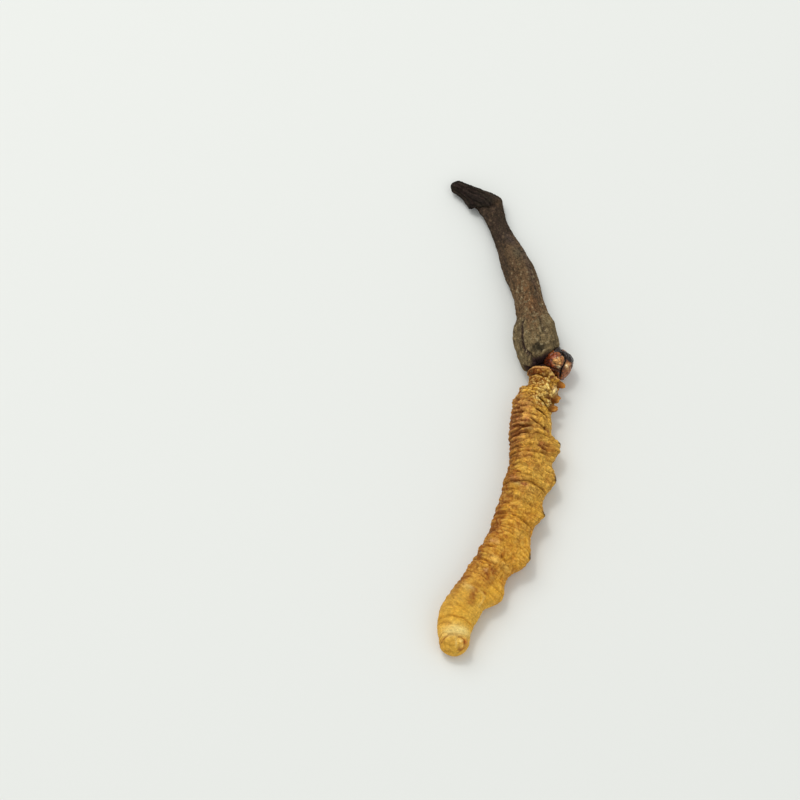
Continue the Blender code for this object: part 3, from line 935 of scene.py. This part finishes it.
knob_share = 1.0 - smooth_step(knob_near, 0.85, 1.0)
end_coats = [
    (COLLAR_RIM, 0.9 * bell(past_collar + 0.24, 0.15)),
    # Beyond the collar's edge the skin is painted near-black: painted shade of the crevice under the
    # stroma's foot.
    (CREVICE_SHADE, smooth_step(past_collar, -0.10, 0.12)),
    (KNOB_ORANGE, knob_share * (0.65 + 0.3 * mottle)),
    (BLOTCH_BROWN, 0.8 * knob_share * smooth_step(mottle, -0.3, 0.6)),
    # A dark ring round each knob's base is painted shade under the overhang.
    (CREASE_BROWN_AND_SHADE, 0.85 * bell(knob_near - 1.02, 0.20)),
]
for place, reach in LEG_TIPS:
    for side in (LEG_TIP_ANGLE, -LEG_TIP_ANGLE):
        tip = larva.distance(place, BELLY_TURN + side, 0.42, 0.34)
        end_coats.append((TIP_DARK, 0.9 * smooth_step(reach - tip, 0.0, 0.9)))
larva_tint = coated(larva_tint, end_coats)

# The fourth channel is how much the material may crack the skin.
cracked = 0.06 + 0.64 * smooth_step(larva.s, 16.0, 27.0) - 0.25 * folded_back - 0.3 * neck
larva_tint = np.concatenate((larva_tint, (plain * cracked)[..., None]), axis=-1)
print("all of the larva's paint:", mean_paint(larva_tint))

# %% [markdown]
# ## From a grid to a closed mesh
# A tube could get its ends from a cap modifier, but that leaves a flat disc. Here the rings are
# joined by quads, and the first and the last ring shrink to one point each, so the mesh is closed.
# The paint goes in as a colour attribute. `from_pydata` takes the whole arrays at once.

# %% Faces of a closed grid
def closed_faces(rings, sides):
    """Quads between neighbouring rings and a fan of triangles to the point at each end."""
    index = np.arange(rings * sides).reshape(rings, sides)
    after = np.roll(index, -1, axis=1)
    quads = np.stack((index[:-1], index[1:], after[1:], after[:-1]), axis=-1).reshape(-1, 4)
    first, last = rings * sides, rings * sides + 1
    start = np.stack((np.full(sides, first), index[0], after[0]), axis=-1)
    end = np.stack((index[-1], np.full(sides, last), after[-1]), axis=-1)
    return quads.tolist() + start.tolist() + end.tolist()


print("faces of a small grid:", len(closed_faces(3, 4)))


# %% A piece from its grid
def grid_piece(name, points, tint):
    """A closed, smooth mesh of a grid in mm, painted and riding on the body. A fourth value of the
    paint says how much the material may crack it; without one it cracks fully."""
    inner, colours = points[1:-1], tint[1:-1]
    ends = (points[0].mean(axis=0), points[-1].mean(axis=0))
    end_tints = (colours[0].mean(axis=0), colours[-1].mean(axis=0))
    rings, sides, _ = inner.shape
    vertices = np.concatenate((inner.reshape(-1, 3), ends)) * MM
    mesh = bpy.data.meshes.new(name)
    mesh.from_pydata(vertices.tolist(), [], closed_faces(rings, sides))
    mesh.shade_smooth()
    rgba = np.ones((len(vertices), 4), dtype=np.float32)
    rgba[:, : tint.shape[-1]] = np.concatenate((colours.reshape(-1, tint.shape[-1]), end_tints))
    layer = mesh.color_attributes.new(name="paint", type="FLOAT_COLOR", domain="POINT")
    layer.data.foreach_set("color", rgba.ravel())
    made = bpy.data.objects.new(name, mesh)
    bpy.context.scene.collection.objects.link(made)
    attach(made, "root")
    print(f"{name}: {len(mesh.polygons)} faces")
    return made


larva_piece = grid_piece("larva_skin", larva_points, larva_tint)
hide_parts("larva")

# %% [markdown]
# ## Materials: paint, mottling and fine cracks
# Up close nothing on this thing is evenly coloured or evenly rough. One recipe serves all three
# stuffs: it takes the paint from the grid, breaks it up with two noises in the object's own
# coordinates, cracks it, and adds a grain finer than the mesh as bump. Only the numbers differ.

# %% Nodes with their values and links
class BlankMaterial:
    """A material under construction."""

    def __init__(self, name):
        """Start with the shader and a source of the object's own coordinates."""
        self.material = bpy.data.materials.new(name)
        self.material.use_nodes = True
        self.nodes = self.material.node_tree.nodes
        self.shader = self.nodes["Principled BSDF"]
        self.place = self.node("TexCoord", "Object", {})

    def plug(self, made, values):
        """Put each value on its socket: a number as it is, and another node's output as a link."""
        for socket, value in values.items():
            if isinstance(value, bpy.types.NodeSocket):
                self.material.node_tree.links.new(value, made.inputs[socket])
            else:
                made.inputs[socket].default_value = value

    def node(self, kind, output, values, **settings):
        """A new node with its settings and values; what it gives back is one of its outputs."""
        made = self.nodes.new("ShaderNode" + kind)
        for name, value in settings.items():
            setattr(made, name, value)
        self.plug(made, values)
        return made.outputs[output]


print("a blank material can:", [name for name in vars(BlankMaterial) if not name.startswith("_")])

# %% The steps that a finish is made of
NOISE_ROUGHNESS = 0.6


class Finish(BlankMaterial):
    """A material with the few kinds of node that all three finishes need."""

    def noise(self, size_mm, detail):
        """Noise whose largest spots are about size_mm across."""
        values = {"Scale": 1.0 / (size_mm * MM), "Detail": detail, "Roughness": NOISE_ROUGHNESS}
        return self.node("TexNoise", "Fac", {**values, "Vector": self.place})

    def spread(self, source, low, high, from_low=0.3, from_high=0.7):
        """Stretch a noise from its usual range to low..high, in proportion."""
        values = {"From Min": from_low, "From Max": from_high, "To Min": low, "To Max": high}
        return self.node("MapRange", "Result", {**values, "Value": source})

    def arithmetic(self, operation, first, second):
        """One step of arithmetic with two values, of which ABSOLUTE reads only the first."""
        return self.node("Math", "Value", {0: first, 1: second}, operation=operation)

    def darkened(self, colour, factor):
        """Colour times a grey factor."""
        return self.node("VectorMath", "Vector", {0: colour, "Scale": factor}, operation="SCALE")


print("a finish can:", [name for name in vars(Finish) if not name.startswith("_")])


# %% The recipe of all three finishes
def beside_cracks(made, size_mm, width, depth):
    """1 - depth on thin meandering lines, where a noise passes through its middle, and 1 elsewhere."""
    middle = made.arithmetic("SUBTRACT", made.noise(size_mm, 2.0), 0.5)
    away = made.arithmetic("ABSOLUTE", middle, 0.0)
    inside = made.arithmetic("MULTIPLY", made.spread(away, 1.0, 0.0, 0.0, width), depth)
    return made.spread(inside, 1.0, 0.0, 0.0, 1.0)


def finish(name, mottle, grain, cracks, shine, bump_mm, **looks):
    """Painted surface: paint times two sizes of mottling times fine cracks, with a bump.

    mottle and grain are (size in mm, darkest, lightest), cracks are (size in mm, width, how much
    light they lose), shine is (lowest, highest roughness), and looks are the shader's own numbers.
    """
    made = Finish(name)
    colour = made.nodes.new("ShaderNodeAttribute")
    colour.attribute_name = "paint"
    shaded = colour.outputs["Color"]
    for size, dark, light in (mottle, grain):
        spots = made.noise(size, 3.0)
        shaded = made.darkened(shaded, made.spread(spots, dark, light))
    size, width, lost = cracks
    depth = made.arithmetic("MULTIPLY", colour.outputs["Alpha"], lost)
    whole = beside_cracks(made, size, width, depth)
    shaded = made.darkened(shaded, whole)
    roughness = made.spread(made.noise(mottle[0], 4.0), *shine)
    height = made.arithmetic("ADD", made.noise(grain[0], 5.0), whole)
    bumps = {"Strength": 1.0, "Distance": bump_mm * MM, "Height": height}
    normal = made.node("Bump", "Normal", bumps)
    made.plug(made.shader, {"Base Color": shaded, "Roughness": roughness, "Normal": normal})
    made.plug(made.shader, looks)
    print(f"{name}: {len(made.nodes)} nodes")
    return made.material


# %% [markdown]
# ## Finish of the skin
# Dry larva skin is dull with a faint, waxy shine, and never wet. A clear coat would make it look
# varnished, so the shine comes from roughness alone, which wanders a little from place to place.

# %% Dry skin
dry_skin = finish(
    "dry_skin",
    mottle=(0.55, 0.88, 1.18),
    grain=(0.20, 0.84, 1.18),
    cracks=(0.55, 0.08, 0.50),
    shine=(0.45, 0.68),
    bump_mm=0.05,
    **{"Specular IOR Level": 0.1},
)
larva_piece.data.materials.append(dry_skin)

# %% [markdown]
# ## The stroma
# The stalk is a different stuff: matte, like dry wood, with lengthwise wrinkles. They could be
# painted on a smooth rod, but then the outline would give it away, so they are relief too. At the
# foot it swells into rounded lobes round a dark fold and a pit. Near the top it was pressed over:
# the tip is a flap, darker and more finely wrinkled, with a step where it lies on the stalk.

# %% The stroma's grid and the cut of its foot
STROMA_FLATNESS = 0.82
stroma = Skin(STROMA_STATIONS, rings=470, sides=200, roundings=(0.5, 1.05))
# The foot's cut, mm aside and mm along: a tongue on the back's side, and a notch beside it.
FOOT_CUT = (
    (-2.6, 0.3),
    (-2.4, -0.4),
    (-2.1, -1.0),
    (-1.8, -1.25),
    (-1.55, -0.9),
    (-1.3, 0.1),
    (-1.15, 0.35),
    (0.1, 0.3),
    (0.95, 0.9),
    (2.6, 1.4),
)
stroma.cut_to(FOOT_CUT, 3.5)
print(f"the stroma's midline is {stroma.places[-1]:.1f} mm long")

# %% Lobes
# Lobes: distance, degrees, half-length, half-width, height.
LOBES = (
    (2.8, 62.0, 1.2, 1.2, 0.20),
    (2.7, 108.0, 1.0, 0.9, 0.26),
    (4.0, 42.0, 1.7, 0.9, 0.20),
    (4.2, 152.0, 1.6, 0.7, 0.12),
    (25.5, 0.0, 0.6, 1.0, 0.30),
    (31.2, 90.0, 1.2, 3.0, 0.10),
    (2.3, 180.0, 1.7, 0.9, 0.13),
    (19.3, 0.0, 2.6, 1.0, 0.10),
    (25.1, 49.0, 0.5, 0.6, 0.22),
    (12.7, 100.0, 1.4, 0.8, 0.08),
    (16.7, 74.0, 1.3, 0.8, 0.10),
)
lobes = sum(height * stroma.patch(*where) for *where, height in LOBES)
print(f"{len(LOBES)} lobes, up to {lobes.max():.2f} mm high")

# %% Folds
FOLD_COUNT = 5
FOLD_DEPTH = 0.10
FOLD_TWIST = 0.10  # radians for each mm along it
# Folds: marks, depth, half-width.
FOLDS = (
    (
        ((6.4, 128), (5.3, 133), (4.2, 132), (3.4, 134), (2.8, 137))
        + ((2.2, 136), (1.6, 131), (0.9, 125), (0.4, 116)),
        0.44,
        0.27,
    ),
    (((5.5, 148), (4.2, 146), (3.0, 148), (2.3, 147)), 0.12, 0.14),
    (((6.4, 78), (5.2, 74), (4.0, 68), (3.2, 66)), 0.20, 0.20),
    (((10.4, 62), (9.0, 70), (7.3, 84)), 0.10, 0.24),
    (((20.5, 116), (18.4, 109), (15.4, 105), (13.0, 118)), 0.12, 0.22),
    (((14.5, 60), (11.5, 52), (8.0, 44)), 0.08, 0.25),
    (((27.2, 150), (29.5, 128), (31.0, 116)), 0.16, 0.16),
    (((26.2, 98), (29.0, 100), (31.2, 96)), 0.16, 0.14),
    (((25.6, 66), (28.0, 74), (30.6, 78)), 0.14, 0.14),
)
folded = FOLD_DEPTH * np.cos(FOLD_COUNT * stroma.angles + FOLD_TWIST * FOLD_COUNT * stroma.s)
fold_marks = sum(depth * stroma.stroke(marks, width) for marks, depth, width in FOLDS)
print(f"{len(FOLDS)} drawn folds, up to {fold_marks.max():.2f} mm deep")

# %% Pit at the foot, and the folded tip
PIT = (1.55, 91.0, 0.36, 0.60)  # distance, degrees, half-length, half-width
FLAP_PLACE = 24.9  # where its edge is nearest to the foot
FLAP_SLANT = 2.0


def flap_line(skin):
    """Distance of each point past the edge of the folded tip, which runs slanting round the stalk:
    the edge's place is a cosine of the angle."""
    return skin.s - (FLAP_PLACE + FLAP_SLANT * (1.0 - np.cos(skin.turn_from(85.0))))


pit = stroma.patch(*PIT)
past_edge = flap_line(stroma)
flap = smooth_step(past_edge, -0.08, 0.10)
flap_step = 0.16 * flap * np.exp(-np.clip(past_edge, 0.0, None) / 2.5) - 0.18 * bell(past_edge + 0.12, 0.16)
flap_step += 0.50 * flap * stroma.patch(27.5, 180.0, 0.7, 1.0)
flap_step -= 0.30 * (1.0 - flap) * stroma.patch(26.4, 180.0, 0.7, 1.0)
tip_share = smooth_step(stroma.s, 23.0, 27.0)
print(f"the folded tip covers {flap.mean():.0%} of the stalk")

# %% Wrinkles, stripes and grains
stalk_warp = 0.5 * layered_noise(stroma.scaled(1.6, 1.0), seed=83, layers=2)[..., None]
fibre_field = layered_noise(stroma.scaled(2.2, 0.42) + stalk_warp, seed=81, layers=3)
fibres = bell(fibre_field, 0.20)
fibre_depth = 0.05 + 0.10 * tip_share
stripe_field = smooth_noise(stroma.scaled(2.6, 0.33) + 0.5 * stalk_warp, seed=97)
grain_field = layered_noise(stroma.scaled(0.34, 0.24) + stalk_warp, seed=91, layers=2)
grains = crumpled(grain_field, 0.6)
crumple = layered_noise(stroma.scaled(1.3, 0.9), seed=95, layers=3)
print(f"wrinkles are up to {fibre_depth.max():.2f} mm deep")

# %% The stroma's relief together
PIT_DEPTH = 0.22
CRUMPLE_HEIGHT = 0.08
GRAIN_HEIGHT = 0.06
STRIPE_DEPTH = 0.10
stroma_height = folded + lobes - fold_marks - PIT_DEPTH * pit + flap_step
stroma_height += CRUMPLE_HEIGHT * crumple - fibre_depth * (1.0 - crumpled(fibre_field, 0.6)) - 0.04
stroma_height += GRAIN_HEIGHT * (grains - 0.7) * (1.0 - 0.6 * tip_share)
striped = flap * (1.0 - smooth_step(stroma.s, 29.0, 31.0))
stroma_height -= STRIPE_DEPTH * striped * bell(stripe_field, 0.30)
print(f"relief from {stroma_height.min():.2f} to {stroma_height.max():.2f} mm")

# %% [markdown]
# ## Paint of the stroma
# The foot is an olive grey with pale specks, the middle a mottled bark brown, and the folded tip
# nearly black. One gradient along the stalk would look airbrushed, so each change of colour is
# shifted by the clouds, and the dark flank and the folds are coats of their own.

# %% Ground coats of the stroma
OLIVE_GREY = paint(122, 104, 72)
BARK_BROWN = paint(108, 84, 58)
ORANGE_BROWN = paint(140, 96, 58)
FLANK_DARK = paint(66, 52, 41)
MOSS_GREY = paint(88, 80, 62)
MAUVE_GREY = paint(82, 68, 63)

stalk_clouds = layered_noise(stroma.scaled(2.0, 0.9), seed=101, layers=3)
stalk_flecks = layered_noise(stroma.scaled(0.55, 0.35), seed=105, layers=2)
middle = bell(stroma.s - 9.5, 5.0) * bell(stroma.turn_from(96.0) * stroma.radius, 1.3)
past_ridge = stroma.turn_from(104.0)
wavering = past_ridge * stroma.radius + 0.5 * stalk_clouds + 0.3 * stalk_flecks
left_flank = smooth_step(wavering, 0.0, 1.3) * smooth_step(np.pi - np.abs(past_ridge), 0.0, 0.4)
right_edge = smooth_step(-stroma.turn_from(58.0) * stroma.radius, 0.0, 1.2)
clouded_s = stroma.s + stalk_clouds
stalk_coats = (
    (BARK_BROWN, smooth_step(stroma.s + 1.5 * stalk_clouds, 4.5, 8.0)),
    (ORANGE_BROWN, 0.55 * middle * smooth_step(stalk_flecks + stalk_clouds, -0.2, 0.9)),
    (FLANK_DARK, 0.8 * left_flank * smooth_step(clouded_s, 11.0, 16.0)),
    (MOSS_GREY, 0.8 * stroma.patch(16.6, 72.0, 1.2, 1.0)),
    (MAUVE_GREY, 0.6 * stroma.patch(14.2, 50.0, 3.5, 0.7)),
    (FLANK_DARK, 0.45 * right_edge * smooth_step(clouded_s, 11.0, 15.0)),
    (FLANK_DARK, smooth_step(clouded_s, 17.8, 20.0)),
    (MAUVE_GREY, 0.7 * stroma.patch(19.2, 74.0, 1.1, 0.8)),
)
stroma_tint = coated(np.tile(OLIVE_GREY, (*stroma.shape, 1)), stalk_coats)
print("ground of the stroma:", mean_paint(stroma_tint))

# %% Specks, the dark tip and the pit
SPECK_TAN = paint(156, 130, 98)
TIP_BLACK = paint(28, 21, 17)
TIP_GREY = paint(66, 54, 46)
PIT_DARK = paint(44, 38, 26)
DARK_PATCH = (1.65, 92.0, 0.62, 1.00)  # round the pit at the foot

specks = smooth_step(stalk_flecks, 0.35, 0.9) * bell(stroma.s - 21.5, 2.6)
dark_patch = smooth_step(stroma.patch(*DARK_PATCH) * (1.0 + 0.8 * stalk_flecks), 0.1, 0.8)
tip_coats = (
    (SPECK_TAN, 0.45 * specks * bell(stroma.turn_from(95.0) * stroma.radius, 0.9)),
    (TIP_BLACK, flap),
    (BARK_BROWN, 0.5 * stroma.patch(25.1, 49.0, 0.5, 0.6)),
    (TIP_GREY, 0.20 * flap * smooth_step(np.abs(fibre_field), 0.25, 0.7)),
    (TIP_GREY, 0.60 * flap * smooth_step(np.abs(stripe_field), 0.2, 0.7)),
    (MOSS_GREY, 0.20 * flap * stroma.patch(26.6, 62.0, 1.4, 0.9)),
    (PIT_DARK, 0.80 * dark_patch),
    (PIT_DARK, 0.6 * pit),
)
stroma_tint = coated(stroma_tint, tip_coats)
print("with its dark tip:", mean_paint(stroma_tint))

# %% Folds, pale specks, and the torn foot's dark tissue with painted shade
FOLD_PURPLE = paint(60, 42, 38)
SPECK_PALE = paint(158, 142, 108)
FOOT_SHADE_DARK = paint(50, 34, 32)
STRAND_MAUVE = paint(104, 80, 80)

speckled = (0.10 + 0.58 * (1.0 - smooth_step(stroma.s, 11.0, 18.0))) * (1.0 - tip_share)
foot_rim = 1.0 - smooth_step(stroma.s, 0.10, 0.40)
strand_place = stroma.scaled(0.3, 0.5) + 4.0 * stroma.closing[..., None]
foot_coats = (
    (FOLD_PURPLE, 2.6 * fold_marks),
    (SPECK_PALE, speckled * smooth_step(grain_field, 0.3, 0.9)),
    (PIT_DARK, 0.40 * fibres + 0.55 * smooth_step(-grain_field, 0.25, 0.9)),
    # The foot's cut end is near-black: its own dark tissue and painted shade under it.
    (FOOT_SHADE_DARK, foot_rim),
    (STRAND_MAUVE, 0.45 * foot_rim * bell(layered_noise(strand_place, seed=109, layers=2), 0.2)),
)
stroma_tint = coated(stroma_tint, foot_coats)
print("all of the stroma's paint:", mean_paint(stroma_tint))

# %% The stroma's piece and its dry, matte finish
stroma_points = stroma.points(stroma_height, STROMA_FLATNESS)
stroma_piece = grid_piece("stroma_stalk", stroma_points, stroma_tint)
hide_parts("stroma")
dry_stalk = finish(
    "dry_stalk",
    mottle=(0.50, 0.78, 1.28),
    grain=(0.20, 0.58, 1.50),
    cracks=(0.42, 0.09, 0.35),
    shine=(0.72, 0.92),
    bump_mm=0.06,
    **{"Specular IOR Level": 0.1},
)
stroma_piece.data.materials.append(dry_stalk)

# %% [markdown]
# ## The head
# The head is a hard, glossy capsule in two halves with a sunken line between them. A sculpted ball
# would do for the shape, but the paint has to know where each dent is. So it is a ball whose radius
# depends on the direction, drawn on as on a flat picture, in millimetres to the right of and above
# the middle: swellings are ovals and grooves are lines.

# %% A ball and the way it is turned
HEAD_CENTRE = np.array((6.95, 6.1, 2.35))
HEAD_RADII = np.array((2.05, 2.05, 1.90))
HEAD_TURN = (0.20, 0.25, -0.30)
HEAD_RINGS = 180
HEAD_SIDES = 280


def turned(points, angles):
    """Points turned about x, then y, then z."""
    cx, cy, cz = np.cos(angles)
    sx, sy, sz = np.sin(angles)
    about_x = np.array(((1, 0, 0), (0, cx, -sx), (0, sx, cx)))
    about_y = np.array(((cy, 0, sy), (0, 1, 0), (-sy, 0, cy)))
    about_z = np.array(((cz, -sz, 0), (sz, cz, 0), (0, 0, 1)))
    return points @ (about_z @ about_y @ about_x).T


polar = np.linspace(0.0, np.pi, HEAD_RINGS)[:, None]
round_it = np.linspace(0.0, 2.0 * np.pi, HEAD_SIDES, endpoint=False)[None, :]
ball_x = np.sin(polar) * np.cos(round_it)
ball_y = np.sin(polar) * np.sin(round_it)
ball_z = -np.cos(polar) + 0.0 * round_it
ball = np.stack((ball_x, ball_y, ball_z), axis=-1)
print(f"a ball of {HEAD_RINGS} rings with {HEAD_SIDES} points each")

# %% The picture that the head is drawn on
SEEN_UP = np.array((0.0, 0.906, 0.423))  # square to the direction from which the head is drawn
SEEN_NEAR = np.array((0.0, -0.423, 0.906))
facing = turned(ball, HEAD_TURN)
head_right = facing[..., 0] * HEAD_RADII[0]
head_up = facing @ SEEN_UP * HEAD_RADII[0]
head_near = smooth_step(facing @ SEEN_NEAR, -0.35, 0.05)


def head_patch(right, up, half_width, half_height, power=2.0):
    """1 in the middle of an oval on the head's upper side and 0 outside: exp(-distance^power)."""
    distance = np.hypot((head_right - right) / half_width, (head_up - up) / half_height)
    return np.exp(-(distance**power)) * head_near


def head_stroke(marks, half_width):
    """A line through (right, up) marks on the head's upper side, as a bell in the distance."""
    nearest = np.full(head_right.shape, FAR)
    for (r0, u0), (r1, u1) in zip(marks[:-1], marks[1:]):
        share = (head_right - r0) * (r1 - r0) + (head_up - u0) * (u1 - u0)
        share = np.clip(share / ((r1 - r0) ** 2 + (u1 - u0) ** 2), 0.0, 1.0)
        gap = np.hypot(head_right - r0 - share * (r1 - r0), head_up - u0 - share * (u1 - u0))
        nearest = np.minimum(nearest, gap)
    return bell(nearest, half_width) * head_near


print(f"the picture's side covers {head_near.mean():.0%} of the head")

# %% [markdown]
# ## Lobes, grooves and plates of the head
# The two lobes meet in a deep line, and two dark plates cover the front like pieces of a helmet.
# Plates could be thin bodies of their own, but dried horn shrinks into one crust, so they are
# raised patches of the same surface, and the dents are a crumpled noise.

# %% Grooves and plates
HEAD_GROOVES = (
    (((0.40, 1.45), (0.85, 0.95), (0.98, 0.30), (0.85, -0.10), (0.40, -0.80), (0.18, -1.7)), 0.26, 0.13),
    (((-0.75, -0.05), (-0.25, -0.18), (0.30, -0.30)), 0.12, 0.09),
    (((0.38, 0.40), (0.45, 0.02)), 0.10, 0.08),
    (((-1.60, -0.55), (-0.60, -0.75), (0.05, -1.05)), 0.10, 0.12),
    (((1.55, -0.45), (1.45, -1.00)), 0.10, 0.09),
    (((0.42, 1.90), (0.62, 1.20)), 0.30, 0.14),
)
HEAD_PLATES = (((-0.35, 1.85), (0.25, 1.75)), ((0.75, 1.30), (1.25, 1.00), (1.75, 0.50)))
RIM_LINE = ((1.80, 0.35), (2.02, -0.10), (1.92, -0.70))
# A painted highlight runs along this line on the main lobe's rim, on a low ridge.
RIM_HIGHLIGHT_LINE = ((0.45, 0.95), (0.80, 0.45), (0.68, -0.15))

head_grooves = sum(depth * head_stroke(marks, width) for marks, depth, width in HEAD_GROOVES)
plates = np.maximum(head_stroke(HEAD_PLATES[0], 0.36), head_stroke(HEAD_PLATES[1], 0.45))
rim_line = head_stroke(RIM_LINE, 0.14)
rim_highlight = head_stroke(RIM_HIGHLIGHT_LINE, 0.11)
print(f"{len(HEAD_GROOVES)} grooves, up to {head_grooves.max():.2f} mm deep")

# %% Lobes, dents and the head's surface
# Lobes: mm to the right, mm up, half-width, half-height, power, height.
HEAD_LOBES = (
    (-0.40, 0.05, 1.15, 1.25, 3.0, 0.14),
    (1.20, -0.90, 0.60, 0.95, 2.0, 0.10),
    (0.30, -1.95, 0.55, 0.50, 2.0, 0.45),
    (1.15, 1.75, 0.60, 0.50, 2.0, -0.12),
    (-0.30, 0.22, 0.42, 0.32, 2.0, 0.07),
    (-0.05, -0.52, 0.26, 0.18, 2.0, 0.06),
)
head_crumple = layered_noise(facing * 2.6, seed=115, layers=3)
head_dents = crumpled(layered_noise(facing * 4.0, seed=119, layers=2), 0.5)
head_height = sum(height * head_patch(*where) for *where, height in HEAD_LOBES)
head_height += 0.06 * rim_highlight + 0.10 * smooth_step(plates, 0.3, 0.6) - head_grooves
head_height += 0.10 * head_crumple - 0.08 * (1.0 - head_dents) - 0.09
reach = HEAD_RADII * (1.0 + head_height[..., None] / HEAD_RADII[0])
head_points = HEAD_CENTRE + turned(ball * reach, HEAD_TURN)
print(f"head relief from {head_height.min():.2f} to {head_height.max():.2f} mm")

# %% [markdown]
# ## Paint and gloss of the head
# The horn is red-brown, amber where it is thin, and black at the plates and in the grooves. The
# shader's clear coat over a slightly rough ground gives small sharp highlights and a glow; the
# brightest highlights, amber and cream spots on the lobes and a pale line along the rim, are painted.

# %% Coats of horn
HORN_BROWN = paint(168, 100, 54)
HORN_RED = paint(150, 70, 32)
HIGHLIGHT_ORANGE = paint(250, 184, 104)
HORN_BLACK = paint(30, 19, 15)
PLATE_BROWN = paint(40, 26, 20)
DEEP_RED = paint(104, 40, 18)
AMBER = paint(218, 160, 98)
CREAM_HIGHLIGHT = paint(255, 226, 170)

main_lobe = head_patch(-0.75, 0.35, 1.15, 0.95, 3.0)
# Painted highlight: an amber glow on the main lobe.
amber_highlight = head_patch(-0.16, 0.16, 0.74, 0.56, 3.0)
second_lobe = head_patch(1.18, -0.40, 0.55, 0.60, 3.0)
dent_share = (1.0 - head_dents) * head_near * (1.0 - 0.6 * smooth_step(head_right, 0.7, 1.1))
horn_coats = (
    (HORN_RED, smooth_step(main_lobe + 0.15 * head_crumple, 0.2, 0.6)),
    (HIGHLIGHT_ORANGE, 0.85 * smooth_step(amber_highlight + 0.3 * head_crumple, 0.2, 0.7)),
    # Painted highlights: a cream spot on each lobe.
    (CREAM_HIGHLIGHT, 0.95 * smooth_step(head_patch(-0.02, -0.50, 0.30, 0.22), 0.3, 0.8)),
    (AMBER, 0.80 * smooth_step(second_lobe + 0.2 * head_crumple, 0.2, 0.8)),
    (CREAM_HIGHLIGHT, 0.95 * smooth_step(head_patch(1.12, -0.40, 0.22, 0.30), 0.3, 0.8)),
    # Painted highlight along the rim.
    (AMBER, 0.7 * rim_highlight),
    (DEEP_RED, 0.8 * smooth_step(-head_right - 0.35 * head_up, 0.3, 1.5)),
    (HORN_BLACK, 0.7 * head_patch(-0.10, -0.95, 0.80, 0.30)),
    (HORN_BLACK, 0.9 * dent_share),
    (HORN_BLACK, 6.0 * head_grooves),
    (PLATE_BROWN, smooth_step(plates + 0.1 * head_crumple, 0.25, 0.5)),
    (HORN_BLACK, 0.8 * rim_line),
)
head_tint = coated(np.tile(HORN_BROWN, (HEAD_RINGS, HEAD_SIDES, 1)), horn_coats)
print("the head's paint:", mean_paint(head_tint))

# %% The head's piece and its glossy finish
head_piece = grid_piece("head_shell", head_points, head_tint)
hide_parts("head_capsule")
glossy_horn = finish(
    "glossy_horn",
    mottle=(0.50, 0.70, 1.25),
    grain=(0.15, 0.88, 1.10),
    cracks=(0.80, 0.05, 0.45),
    shine=(0.18, 0.36),
    bump_mm=0.02,
    **{"Specular IOR Level": 0.22, "Coat Weight": 0.20, "Coat Roughness": 0.12},
)
head_piece.data.materials.append(glossy_horn)

# %% [markdown]
# ## Floor, light and camera
# A small dry thing looks best on a plain pale floor under soft light. One sun would give hard black
# shadows, so two square lights, a broad one and a small one, hang above and to the left, a weak one
# fills in from the other side, and the world does the rest. The camera looks down at 65 degrees
# from the tail's side, through a long lens, so that the far end doesn't shrink.

# %% Floor
FLOOR_SIZE = 3.0
FLOOR_DROP = 0.02 * MM  # just below the piece, so that the two don't flicker
FLOOR_COLOUR = (0.80, 0.81, 0.765, 1.0)

bpy.ops.mesh.primitive_plane_add(size=FLOOR_SIZE, location=(0.0, 0.0, -FLOOR_DROP))
floor = bpy.context.object
floor.name = "floor"
pale_floor = BlankMaterial("pale_floor")
floor_looks = {"Base Color": FLOOR_COLOUR, "Roughness": 0.6, "Specular IOR Level": 0.2}
pale_floor.plug(pale_floor.shader, floor_looks)
floor.data.materials.append(pale_floor.material)
print("floor:", tuple(floor.dimensions))

# %% Lights
# Name, place in metres, side of the square, power. Each one faces the middle of the scene.
LIGHTS = (
    ("window", (-0.35, 0.45, 0.75), 0.7, 3.0),
    ("lamp", (-0.20, 0.30, 0.70), 0.12, 0.9),
    ("fill", (0.6, -0.5, 0.7), 0.8, 1.0),
)
WORLD_COLOUR = (0.96, 0.98, 1.0, 1.0)
WORLD_STRENGTH = 0.64


def direction_to_euler(direction):
    """Turn that points a light's or a camera's own -Z along a direction, with no roll: the angle
    between it and straight down, and then its compass bearing."""
    x, y, z = direction
    return (np.arctan2(np.hypot(x, y), -z), 0.0, np.arctan2(-x, y))


for name, place, size, power in LIGHTS:
    light_data = bpy.data.lights.new(name, "AREA")
    light_data.size = size
    light_data.energy = power
    light = bpy.data.objects.new(name, light_data)
    light.location = place
    light.rotation_euler = direction_to_euler(-np.array(place))
    bpy.context.scene.collection.objects.link(light)

world = bpy.data.worlds.new("studio")
world.use_nodes = True
background = world.node_tree.nodes["Background"]
background.inputs["Color"].default_value = WORLD_COLOUR
background.inputs["Strength"].default_value = WORLD_STRENGTH
bpy.context.scene.world = world
bpy.context.scene.view_settings.view_transform = "Standard"
print(f"{len(LIGHTS)} lights")

# %% Camera
CAMERA_ELEVATION = np.radians(65.0)
CAMERA_DISTANCE = 0.352
CAMERA_AIM = np.array((-13.9, 1.8, 0.0)) * MM
look = np.array((0.0, np.cos(CAMERA_ELEVATION), -np.sin(CAMERA_ELEVATION)))
camera_data = bpy.data.cameras.new("camera")
camera_data.lens = 120.0
camera_data.sensor_width = 36.0
camera_data.clip_start = 0.01
camera = bpy.data.objects.new("camera", camera_data)
bpy.context.scene.collection.objects.link(camera)
camera.location = CAMERA_AIM - CAMERA_DISTANCE * look
camera.rotation_euler = direction_to_euler(look)
bpy.context.scene.camera = camera
print("camera at", [round(value, 3) for value in camera.location])

# %% [markdown] ## Last update

# %% Last update
bpy.context.view_layer.update()
